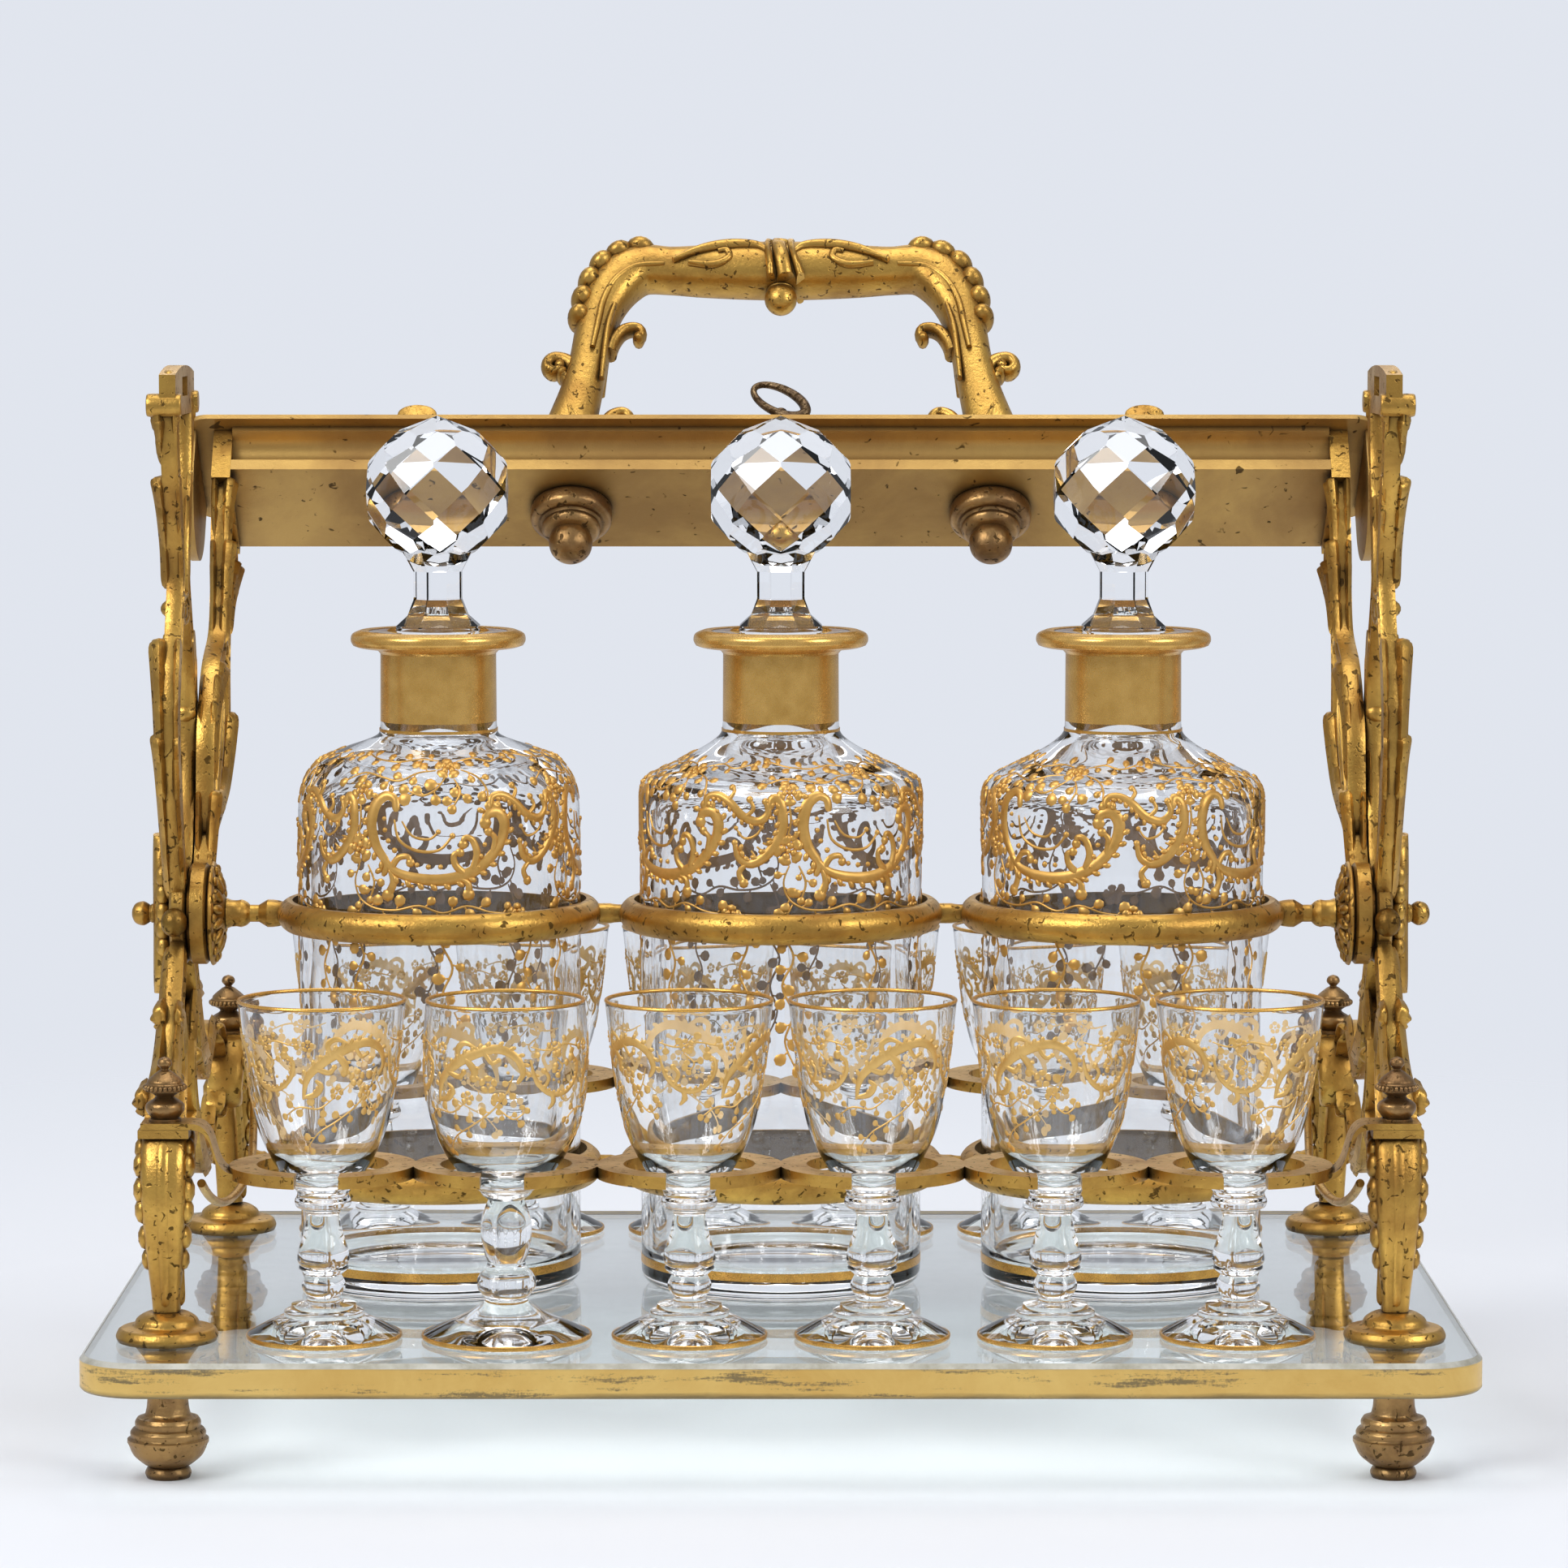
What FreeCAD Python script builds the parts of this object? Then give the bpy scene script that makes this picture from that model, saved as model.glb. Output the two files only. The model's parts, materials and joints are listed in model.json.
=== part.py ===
import FreeCAD, Part
import Sketcher
import math
import os

# Tantalus: a glass tray on four feet carries two pierced side frames, two tiers of rings for
# three decanters, two forked strips for twelve glasses, and a gate that tilts and locks.
# X runs along the row of decanters, -Y is the front, +Z is up. Every piece is drawn about the
# tray's centre, the gate in its closed place, and is then put where the open gate leaves it.

SIZES = {
    # Tray of plate glass
    "tray_length": 400.0,
    "tray_width": 272.0,
    "tray_thickness": 10.0,
    "tray_corner_radius": 19.0,
    "tray_bevel": 1.4,
    # Feet, flanges and the studs that clamp them to the tray
    "leg_place_y": 98.0,
    "foot_height": 30.0,
    "foot_ball_radius": 11.6,
    "foot_neck_radius": 6.1,
    "foot_pad_radius": 6.5,
    "flange_radius": 14.6,
    "flange_dome_radius": 9.2,
    "flange_height": 8.5,
    "stud_radius": 2.4,
    "stud_clearance": 0.2,
    "stud_grip": 14.0,
    # Side frames and their legs
    "frame_offset": 2.3,
    "frame_thickness": 5.0,
    "leg_width": 15.5,
    "leg_toe_width": 7.4,
    "leg_height": 53.5,
    "head_half_length": 28.0,
    "head_depth": 15.0,
    "frame_band": 7.0,
    "rib_height": 1.0,
    "leaf_height": 1.8,
    "finial_height": 18.6,
    "finial_bulb_radius": 5.5,
    "finial_collar_radius": 6.3,
    # Gate pivot
    "pivot_height": 113.0,
    "pin_radius": 3.0,
    "pin_clearance": 0.06,
    "pin_ball_radius": 3.6,
    "rosette_radius": 15.8,
    "rosette_thickness": 4.7,
    "boss_thickness": 6.4,
    "boss_half_height": 24.0,
    "boss_half_width": 12.0,
    "side_gap": 0.3,
    "open_angle": 38.0,
    # Gate
    "arm_thickness": 6.0,
    "arm_band": 6.0,
    "bar_reach": 151.0,
    "bar_half_width": 21.0,
    "bar_waist_half_width": 16.5,
    "bar_lip_half_width": 22.6,
    "bar_height": 15.3,
    "bar_cavity_half_width": 13.5,
    "underplate_thickness": 1.6,
    "top_plate_half_width": 27.0,
    "top_plate_thickness": 1.6,
    "top_plate_overhang": 1.6,
    "end_plate_thickness": 2.6,
    "end_plate_height": 31.0,
    "tab_place_x": 115.0,
    "tab_radius": 6.5,
    "tab_height": 5.0,
    "tab_thickness": 2.4,
    # Handle and what holds it
    "handle_height": 90.0,
    "handle_half_span": 79.0,
    "handle_depth": 16.0,
    "handle_stud_place_x": 66.4,
    "handle_stud_radius": 2.5,
    "nut_radius": 12.9,
    "nut_step_radius": 8.7,
    "nut_ball_radius": 6.8,
    "nut_height": 20.0,
    # Lock
    "bolt_width": 14.0,
    "bolt_thickness": 5.0,
    "bolt_clearance": 0.3,
    "bolt_throw": 5.2,
    "lock_length": 46.0,
    "lock_width": 22.0,
    "key_stem_radius": 1.8,
    "key_bow_height": 14.0,
    "key_bow_width": 19.0,
    "key_wire_radius": 1.1,
    "escutcheon_radius": 6.0,
    "escutcheon_thickness": 0.8,
    # Decanter rings
    "upper_ring_height": 9.0,
    "lower_ring_height": 10.0,
    "lower_ring_place": 31.0,
    "link_radius": 3.4,
    "end_bobbin_radius": 4.2,
    "stay_radius": 1.3,
    # Decanters and stoppers
    "decanter_wall": 4.0,
    "decanter_base": 6.0,
    "decanter_shoulder_rise": 18.0,
    "decanter_neck_radius": 17.5,
    "decanter_neck_length": 28.0,
    "decanter_lip_radius": 26.0,
    "decanter_height": 199.0,
    "decanter_mouth_radius": 13.0,
    "decanter_bore_radius": 10.5,
    "stopper_ball_radius": 21.0,
    "stopper_ball_rise": 42.0,
    "stopper_stem_radius": 7.2,
    "stopper_plug_length": 20.0,
    "stopper_clearance": 0.3,
    "facets_round": 8,
    # Forked strips and glasses
    "fork_thickness": 3.5,
    "fork_place_z": 47.4,
    "strip_end_width": 13.0,
    "strip_end_thickness": 1.8,
    "glass_row_place": 95.0,
    "glass_height": 98.7,
    "glass_wall": 1.4,
    "glass_neck_radius": 4.6,
    "glass_collar_radius": 8.0,
    "glass_bell_radius": 7.5,
    # One overrun for every cut
    "cut_overrun": 2.0,
}

document = FreeCAD.newDocument("Tantalus")
sheet = document.addObject("Spreadsheet::Sheet", "sizes")
for row, (alias, value) in enumerate(SIZES.items(), start=1):
    sheet.set(f"A{row}", alias)
    sheet.set(f"B{row}", str(value))
    sheet.setAlias(f"B{row}", alias)
centre_row = len(SIZES) + 1
sheet.set(f"A{centre_row}", "row_place_y")
sheet.set(f"B{centre_row}", "0.0")
sheet.setAlias(f"B{centre_row}", "row_place_y")
document.recompute()


# A number with the sheet formula that gives it, so that one sum sets both
class Size:
    def __init__(self, value, formula):
        self.value = float(value)
        self.formula = formula

    def __add__(self, other):
        return Size(self.value + amount(other), f"({self.formula} + {words(other)})")

    def __sub__(self, other):
        return Size(self.value - amount(other), f"({self.formula} - {words(other)})")

    def __mul__(self, other):
        return Size(self.value * amount(other), f"({self.formula} * {words(other)})")

    def __truediv__(self, other):
        return Size(self.value / amount(other), f"({self.formula} / {words(other)})")

    def __neg__(self):
        return Size(-self.value, f"(-1 * {self.formula})")

    __radd__ = __add__
    __rmul__ = __mul__

    def __rsub__(self, other):
        return -self + other


def amount(item):
    return item.value if isinstance(item, Size) else float(item)


def words(item):
    return item.formula if isinstance(item, Size) else repr(float(item))


def size(alias):
    return Size(getattr(sheet, alias), f"sizes.{alias}")


def bind(item, path, value):
    item.setExpression(path, words(value))


# The row's place, shared by everything, is set once all the shapes are known
ROW_Y = size("row_place_y")
SUB_PARTS = []


def place(item, at=(0, 0, 0), rotation=None):
    if rotation is not None:
        item.Placement = FreeCAD.Placement(FreeCAD.Vector(0, 0, 0), rotation)
    bind(item, "Placement.Base.x", at[0])
    bind(item, "Placement.Base.y", at[1] + ROW_Y)
    bind(item, "Placement.Base.z", at[2])


def finished(item, label, at=(0, 0, 0), rotation=None):
    item.Label = label
    place(item, at, rotation)
    SUB_PARTS.append(item)
    return item


def origin_plane(body, role):
    return next(plane for plane in body.Origin.OriginFeatures if plane.Role == role)


# Outline of (across, up) points; a third number is the bulge of the arc that leads to the point
def draw_outline(sketch, points):
    first_place = sketch.GeometryCount
    corners = [FreeCAD.Vector(amount(p[0]), amount(p[1]), 0) for p in points]
    starts, ends = [], []
    for i, point in enumerate(points):
        start, end = corners[i - 1], corners[i]
        bulge = point[2] if len(point) > 2 else 0
        if bulge:
            chord = end.sub(start)
            normal = FreeCAD.Vector(chord.y, -chord.x, 0)
            via = (start + end) * 0.5 + normal * (bulge / 2)
            arc = Part.Arc(start, via, end)
            place_in_sketch = sketch.addGeometry(arc, False)
            forward = (sketch.getPoint(place_in_sketch, 1).sub(start)).Length < chord.Length * 1e-4
            starts.append((place_in_sketch, 1 if forward else 2))
            ends.append((place_in_sketch, 2 if forward else 1))
        else:
            place_in_sketch = sketch.addGeometry(Part.LineSegment(start, end), False)
            starts.append((place_in_sketch, 1))
            ends.append((place_in_sketch, 2))
    for i in range(len(points)):
        sketch.addConstraint(Sketcher.Constraint("Coincident", *ends[i - 1], *starts[i]))
    for i, point in enumerate(points):
        geometry, corner = ends[i]
        for kind, axis, value in (("DistanceX", -2, point[0]), ("DistanceY", -1, point[1])):
            if amount(value) == 0:
                sketch.addConstraint(Sketcher.Constraint("PointOnObject", geometry, corner, axis))
            else:
                number = sketch.addConstraint(
                    Sketcher.Constraint(kind, -1, 1, geometry, corner, amount(value)))
                bind(sketch, f"Constraints[{number}]", value)
        bulge = point[2] if len(point) > 2 else 0
        if bulge:
            across = point[0] - points[i - 1][0]
            up = point[1] - points[i - 1][1]
            share = (1 + bulge * bulge) / (4 * abs(bulge))
            chord = math.hypot(amount(across), amount(up))
            radius = Size(chord * share, f"(sqrt({words(across)} ^ 2 + {words(up)} ^ 2) * {share!r})")
            number = sketch.addConstraint(Sketcher.Constraint("Radius", first_place + i, radius.value))
            bind(sketch, f"Constraints[{number}]", radius)


def new_sketch(body, name, role, outlines):
    sketch = body.newObject("Sketcher::SketchObject", name)
    sketch.AttachmentSupport = [(origin_plane(body, role), "")]
    sketch.MapMode = "FlatFace"
    for outline in outlines:
        draw_outline(sketch, outline)
    return sketch


def draw_circles(sketch, places, radius):
    for across, up in places:
        number = sketch.addGeometry(
            Part.Circle(FreeCAD.Vector(amount(across), amount(up), 0), FreeCAD.Vector(0, 0, 1),
                        amount(radius)), False)
        for kind, value in (("DistanceX", across), ("DistanceY", up)):
            if amount(value) == 0:
                axis = -2 if kind == "DistanceX" else -1
                sketch.addConstraint(Sketcher.Constraint("PointOnObject", number, 3, axis))
            else:
                held = sketch.addConstraint(
                    Sketcher.Constraint(kind, -1, 1, number, 3, amount(value)))
                bind(sketch, f"Constraints[{held}]", value)
        held = sketch.addConstraint(Sketcher.Constraint("Radius", number, amount(radius)))
        bind(sketch, f"Constraints[{held}]", radius)


def new_body(name):
    return document.addObject("PartDesign::Body", name)


# A body turned about its own Z axis, or about its X axis
def turned(name, outline, axis="V_Axis"):
    body = new_body(name)
    sketch = new_sketch(body, name + "_profile", "XZ_Plane", [outline])
    turning = body.newObject("PartDesign::Revolution", name + "_turning")
    turning.Profile = sketch
    turning.ReferenceAxis = (sketch, [axis])
    turning.Angle = 360
    body.Tip = turning
    sketch.Visibility = False
    return body


# A body raised from one or more outlines on an origin plane of its own
def raised(name, role, outlines, length):
    body = new_body(name)
    sketch = new_sketch(body, name + "_outline", role, outlines)
    pad = body.newObject("PartDesign::Pad", name + "_pad")
    pad.Profile = sketch
    bind(pad, "Length", length)
    body.Tip = pad
    return body


# The same outline on the other side of the up axis
def mirrored_outline(points):
    return [(-p[0], p[1]) + tuple(-bulge for bulge in p[2:]) for p in points]


# An outline's right side, given upwards, and its mirror image, taken downwards
def both_sides(right):
    left = []
    for number in range(len(right) - 1, -1, -1):
        led_to = right[number + 1][2:] if number + 1 < len(right) else ()
        left.append((-right[number][0], right[number][1]) + led_to)
    return right + left


# Copies of one piece that share a node
def group(label, piece, places):
    copies = []
    for i, at in enumerate(places):
        copy = document.addObject("App::Link", f"{label}_{i + 1}")
        copy.LinkedObject = piece
        bind(copy, "Placement.Base.x", at[0])
        bind(copy, "Placement.Base.y", at[1])
        bind(copy, "Placement.Base.z", at[2])
        copies.append(copy)
    compound = document.addObject("Part::Compound", label)
    compound.Links = copies
    return compound


def edges_at_height(shape, height):
    names = []
    for number, edge in enumerate(shape.Edges, start=1):
        box = edge.BoundBox
        if abs(box.ZMin - height) < 1e-6 and abs(box.ZMax - height) < 1e-6:
            names.append(f"Edge{number}")
    return names


def vector(across, up):
    return FreeCAD.Vector(amount(across), amount(up), 0)


# A flat scroll: a curve through points, with a width at each point and a round tip at each end
def scroll_face(points, width_shares, width):
    places = [vector(*p) for p in points]
    curve = Part.BSplineCurve()
    curve.interpolate(places)
    left, right = [], []
    for point, share in zip(places, width_shares):
        tangent = curve.tangent(curve.parameter(point))[0]
        normal = FreeCAD.Vector(-tangent.y, tangent.x, 0)
        half = amount(width) * share / 2
        left.append(point + normal * half)
        right.append(point - normal * half)
    first = curve.tangent(curve.FirstParameter)[0]
    last = curve.tangent(curve.LastParameter)[0]
    tip_start = places[0] - first * (amount(width) * width_shares[0] / 2)
    tip_end = places[-1] + last * (amount(width) * width_shares[-1] / 2)
    side_left, side_right = Part.BSplineCurve(), Part.BSplineCurve()
    side_left.interpolate(left)
    side_right.interpolate(right[::-1])
    edges = [
        side_left.toShape(),
        Part.Arc(left[-1], tip_end, right[-1]).toShape(),
        side_right.toShape(),
        Part.Arc(right[0], tip_start, left[0]).toShape(),
    ]
    return Part.Face(Part.Wire(edges))


# One casting from flat scrolls and plates in (across, up), each stood up and given its thickness
def cast(faces, stand, push):
    solids = []
    for face in faces:
        shape = face.copy()
        shape.Placement = stand
        solids.append(shape.extrude(push))
    if len(solids) == 1:
        return solids[0]
    return solids[0].multiFuse(solids[1:]).removeSplitter()


# Stands flat faces in the YZ plane and gives them a thickness along X
def cast_sideways(faces, from_x, thickness):
    turn = FreeCAD.Rotation(FreeCAD.Vector(0, 1, 0), FreeCAD.Vector(0, 0, 1), FreeCAD.Vector(1, 0, 0), "ZXY")
    stand = FreeCAD.Placement(FreeCAD.Vector(amount(from_x), 0, 0), turn)
    return cast(faces, stand, FreeCAD.Vector(amount(thickness), 0, 0))


# Stands flat faces in the XZ plane and gives them a depth about Y = 0
def cast_forwards(faces, depth):
    stand = FreeCAD.Placement(
        FreeCAD.Vector(0, amount(depth) / 2, 0), FreeCAD.Rotation(FreeCAD.Vector(1, 0, 0), 90))
    return cast(faces, stand, FreeCAD.Vector(0, -amount(depth), 0))


def flat_face(points):
    corners = [vector(*p) for p in points]
    return Part.Face(Part.makePolygon(corners + corners[:1]))


def disc_face(across, up, radius):
    circle = Part.Circle(vector(across, up), FreeCAD.Vector(0, 0, 1), amount(radius))
    return Part.Face(Part.Wire(circle.toShape()))


def feature(name, shape):
    item = document.addObject("Part::Feature", name)
    item.Shape = shape
    return item


def mirrored_left(shape):
    return shape.mirror(FreeCAD.Vector(0, 0, 0), FreeCAD.Vector(1, 0, 0))


# What stands along the tray takes its share of the tray's length
LEG_PLACE_SHARE = 0.4425
DECANTER_PITCH_SHARE = 0.25875
FORK_PITCH_SHARE = 0.132
# Decanters and their rings share out the room between two decanters
DECANTER_RADIUS_SHARE = 0.4106
RING_OUTER_SHARE = 0.46667
RING_INNER_SHARE = 0.43
# Glasses and their forks share out the room between two glasses
FORK_OUTER_SHARE = 0.5095
FORK_INNER_SHARE = 0.36
FORK_GAP_SHARE = 0.2386
GLASS_RIM_SHARE = 0.466
GLASS_FOOT_SHARE = 0.4223

DECANTER_PITCH = size("tray_length") * DECANTER_PITCH_SHARE
DECANTER_RADIUS = DECANTER_PITCH * DECANTER_RADIUS_SHARE
RING_OUTER = DECANTER_PITCH * RING_OUTER_SHARE
RING_INNER = DECANTER_PITCH * RING_INNER_SHARE
FORK_PITCH = size("tray_length") * FORK_PITCH_SHARE

# Levels
TRAY_TOP = size("foot_height") + size("tray_thickness")
PIVOT_Z = TRAY_TOP + size("pivot_height")
OPEN_TURN = FreeCAD.Rotation(FreeCAD.Vector(1, 0, 0), -size("open_angle").value)
OVERRUN = size("cut_overrun")
LEG_X = size("tray_length") * LEG_PLACE_SHARE
LEG_Y = size("leg_place_y")
LEG_PLACES = [(x, y) for x in (-LEG_X, LEG_X) for y in (-LEG_Y, LEG_Y)]
FRAME_X = LEG_X + size("frame_offset")
FRAME_THICKNESS = size("frame_thickness")
FRAME_OUTER_X = FRAME_X + FRAME_THICKNESS
GAP = size("side_gap")
ARM_OUTER_X = FRAME_X - GAP
ARM_INNER_X = ARM_OUTER_X - size("arm_thickness")
PIN_HOLE = size("pin_radius") + size("pin_clearance")


def rounded_plate(half_length, half_width, corner):
    quarter_turn = math.tan(math.pi / 8)
    x, y, c = half_length, half_width, corner
    return [
        (x - c, -y), (x, -y + c, quarter_turn), (x, y - c), (x - c, y, quarter_turn),
        (-x + c, y), (-x, y - c, quarter_turn), (-x, -y + c), (-x + c, -y, quarter_turn),
    ]


def make_tray():
    outline = rounded_plate(size("tray_length") / 2, size("tray_width") / 2, size("tray_corner_radius"))
    tray = raised("base_plate", "XY_Plane", [outline], size("tray_thickness"))
    holes = tray.newObject("Sketcher::SketchObject", "stud_holes")
    holes.AttachmentSupport = [(origin_plane(tray, "XY_Plane"), "")]
    holes.MapMode = "FlatFace"
    draw_circles(holes, LEG_PLACES, size("stud_radius") + size("stud_clearance"))
    pocket = tray.newObject("PartDesign::Pocket", "stud_hole_pocket")
    pocket.Profile = holes
    pocket.Type = "ThroughAll"
    pocket.Reversed = True
    tray.Tip = pocket
    document.recompute()
    bevel = tray.newObject("PartDesign::Chamfer", "top_bevel")
    rim = [name for name in edges_at_height(pocket.Shape, size("tray_thickness").value)
           if pocket.Shape.getElement(name).Length > size("tray_corner_radius").value]
    bevel.Base = (pocket, rim)
    bind(bevel, "Size", size("tray_bevel"))
    tray.Tip = bevel
    finished(tray, "base_plate", (0, 0, size("foot_height")))


def make_feet():
    height, ball = size("foot_height"), size("foot_ball_radius")
    neck, pad = size("foot_neck_radius"), size("foot_pad_radius")
    hole = size("stud_radius") + size("stud_clearance")
    outline = [
        (0, 0), (pad * 0.92, 0), (pad * 0.92, height * 0.1, 0.6), (pad * 0.98, height * 0.12),
        (ball * 0.98, height * 0.34, 0.28), (ball, height * 0.36), (ball, height * 0.39),
        (ball * 0.91, height * 0.40), (ball * 0.86, height * 0.49, 0.3), (ball * 0.8, height * 0.5),
        (ball * 0.72, height * 0.58, 0.3), (neck, height * 0.62), (neck, height * 0.78),
        (neck * 1.5, height * 0.9, -0.3), (neck * 1.5, height), (hole, height),
        (hole, height * 0.45), (0, height * 0.45),
    ]
    foot = turned("foot", outline)
    feet = group("bun_feet", foot, [(x, y, 0) for x, y in LEG_PLACES])
    finished(feet, "bun_feet")


def make_flanges():
    disc, dome = size("flange_radius"), size("flange_dome_radius")
    height = size("flange_height")
    hole = size("stud_radius") + size("stud_clearance")
    outline = [
        (hole, 0), (disc * 0.94, 0), (disc * 0.9, height * 0.42, 0.75), (dome * 1.06, height * 0.5),
        (dome * 1.02, height * 0.56), (dome * 0.62, height, 0.3), (hole, height),
    ]
    flange = turned("flange", outline)
    flanges = group("leg_flanges", flange, [(x, y, 0) for x, y in LEG_PLACES])
    finished(flanges, "leg_flanges", (0, 0, TRAY_TOP))


def make_studs():
    stud = document.addObject("Part::Cylinder", "stud")
    bind(stud, "Radius", size("stud_radius"))
    bind(stud, "Height", size("tray_thickness") + size("flange_height") + size("stud_grip") * 2)
    studs = group("leg_studs", stud, [(x, y, 0) for x, y in LEG_PLACES])
    finished(studs, "leg_studs", (0, 0, size("foot_height") - size("stud_grip")))


def make_finials():
    bulb, collar = size("finial_bulb_radius"), size("finial_collar_radius")
    height = size("finial_height")
    outline = [
        (0, 0), (bulb * 0.8, 0), (bulb * 0.62, height * 0.08), (bulb, height * 0.22, 0.3),
        (bulb * 0.5, height * 0.38, 0.3), (bulb * 0.42, height * 0.44), (collar * 0.9, height * 0.5, -0.3),
        (collar, height * 0.54), (collar * 0.94, height * 0.62, 0.4), (collar * 0.7, height * 0.76, 0.25),
        (bulb * 0.28, height * 0.84), (bulb * 0.3, height * 0.98, 0.7), (0, height),
    ]
    finial = turned("finial", outline)
    finials = group("leg_finials", finial, [(x, y, 0) for x, y in LEG_PLACES])
    top = TRAY_TOP + size("flange_height") + size("leg_height") + size("strip_end_thickness")
    finished(finials, "leg_finials", (0, 0, top))


# A rib is a narrow band along a scroll; a leaf swells and draws in again
RIB_SHARE = 0.4
LEAF_SHARES = (0.5, 1.35, 0.5)


# Side frame, in (along Y, above the tray's top): its scrolls, and the ribs and leaves on them
def frame_flat():
    y, band = LEG_Y, size("frame_band")
    toe = size("flange_height")
    top = toe + size("leg_height")
    pivot = size("pivot_height")
    head_top = pivot + size("bar_reach") + size("bar_height") - GAP
    head_low = head_top - size("head_depth")
    head_half = size("head_half_length")
    rise = head_low - pivot
    run = pivot - toe
    apron = [(y * 0.9, top - band / 2), (y * 0.76, toe + run * 0.56), (y * 0.58, toe + run * 0.47),
             (y * 0.40, toe + run * 0.55), (y * 0.26, toe + run * 0.74), (y * 0.10, pivot - band)]
    low_scroll = [(y * 0.88, toe + run * 0.36), (y * 0.72, toe + run * 0.24), (y * 0.52, toe + run * 0.20),
                  (y * 0.34, toe + run * 0.28), (y * 0.20, toe + run * 0.42), (y * 0.14, toe + run * 0.56),
                  (y * 0.2, toe + run * 0.68), (y * 0.27, toe + run * 0.72)]
    drop_scroll = [(y * 0.22, toe + run * 0.40), (y * 0.12, toe + run * 0.33), (0, toe + run * 0.30)]
    lyre = [(y * 0.08, pivot + band), (y * 0.17, pivot + rise * 0.16), (y * 0.26, pivot + rise * 0.32),
            (y * 0.25, pivot + rise * 0.46), (y * 0.14, pivot + rise * 0.58),
            (y * 0.08, pivot + rise * 0.68), (y * 0.13, pivot + rise * 0.80),
            (y * 0.21, pivot + rise * 0.92), (y * 0.22, head_low + band)]
    tie = [(-y * 0.1, pivot + rise * 0.63), (0, pivot + rise * 0.61), (y * 0.1, pivot + rise * 0.63)]
    stop = size("rosette_radius") * 1.45
    lug = [(0, pivot), (stop * 0.5, pivot + stop * 0.3), (stop * 1.02, pivot + stop * 0.62)]
    faces = [disc_face(0, pivot, size("rosette_radius"))]
    ribs, leaves = [], []
    for side in (1, -1):
        for route, shares in (
                (apron, (1.2, 1.1, 0.9, 1.0, 1.2, 1.3)),
                (low_scroll, (0.8, 1.0, 1.1, 1.1, 1.0, 0.9, 0.8, 0.7)),
                (drop_scroll, (0.8, 1.0, 1.3)),
                (lyre, (1.1, 1.1, 1.2, 1.2, 1.1, 1.0, 1.1, 1.2, 1.2))):
            faces.append(scroll_face([(p[0] * side, p[1]) for p in route], shares, band))
        # Raised ribs leave the boss at the pivot and the swing of the end plates free
        for route in (apron[:5], low_scroll, lyre[1:7]):
            shares = [RIB_SHARE] * len(route)
            ribs.append(scroll_face([(p[0] * side, p[1]) for p in route], shares, band))
        for route in (apron[1:4], low_scroll[1:4], lyre[1:4]):
            leaves.append(scroll_face([(p[0] * side, p[1]) for p in route], LEAF_SHARES, band))
    faces.append(scroll_face(tie, (1.2, 1.5, 1.2), band))
    faces.append(scroll_face(lug, (1.0, 1.0, 1.2), band))
    # The head's top is an arc about the pivot, so that the bar's top plate swings over it
    reach = amount(head_top - pivot)
    half = amount(head_half)
    low = amount(head_low)
    centre = amount(pivot)
    shoulder = centre + math.sqrt(reach * reach - half * half)
    head_wire = Part.Wire([
        Part.LineSegment(vector(-half, low), vector(half, low)).toShape(),
        Part.LineSegment(vector(half, low), vector(half, shoulder)).toShape(),
        Part.Arc(vector(half, shoulder), vector(0, centre + reach), vector(-half, shoulder)).toShape(),
        Part.LineSegment(vector(-half, shoulder), vector(-half, low)).toShape(),
    ])
    faces.append(Part.Face(head_wire))
    return faces, ribs, leaves


# Where a leg's inner volute ends: along Y as a share of the leg's place, up as a share of its height
VOLUTE_SHARES = (0.88, 0.66)


# Leg, in (along Y, above the tray's top): a C scroll with a small volute inside
def leg_flat():
    y, band = LEG_Y, size("frame_band")
    toe = size("flange_height")
    rise = size("leg_height")
    route = [(y, toe + band * 0.7), (y * 1.02, toe + rise * 0.3), (y * 1.05, toe + rise * 0.58),
             (y * 1.03, toe + rise * 0.8), (y * 0.95, toe + rise * 0.9), (y * 0.86, toe + rise * 0.86),
             (y * 0.83, toe + rise * 0.72), (y * VOLUTE_SHARES[0], toe + rise * VOLUTE_SHARES[1])]
    scroll = scroll_face(route, (1.3, 1.5, 1.7, 1.8, 1.5, 1.2, 1.0, 0.9), band)
    half = band * 1.1
    seat = flat_face([(y - half, toe + rise * 0.82), (y + half, toe + rise * 0.82),
                      (y + half, toe + rise), (y - half, toe + rise)])
    foot = flat_face([(y - band * 0.7, toe), (y + band * 0.7, toe),
                      (y + band * 0.7, toe + band), (y - band * 0.7, toe + band)])
    return [scroll, seat, foot]


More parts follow.
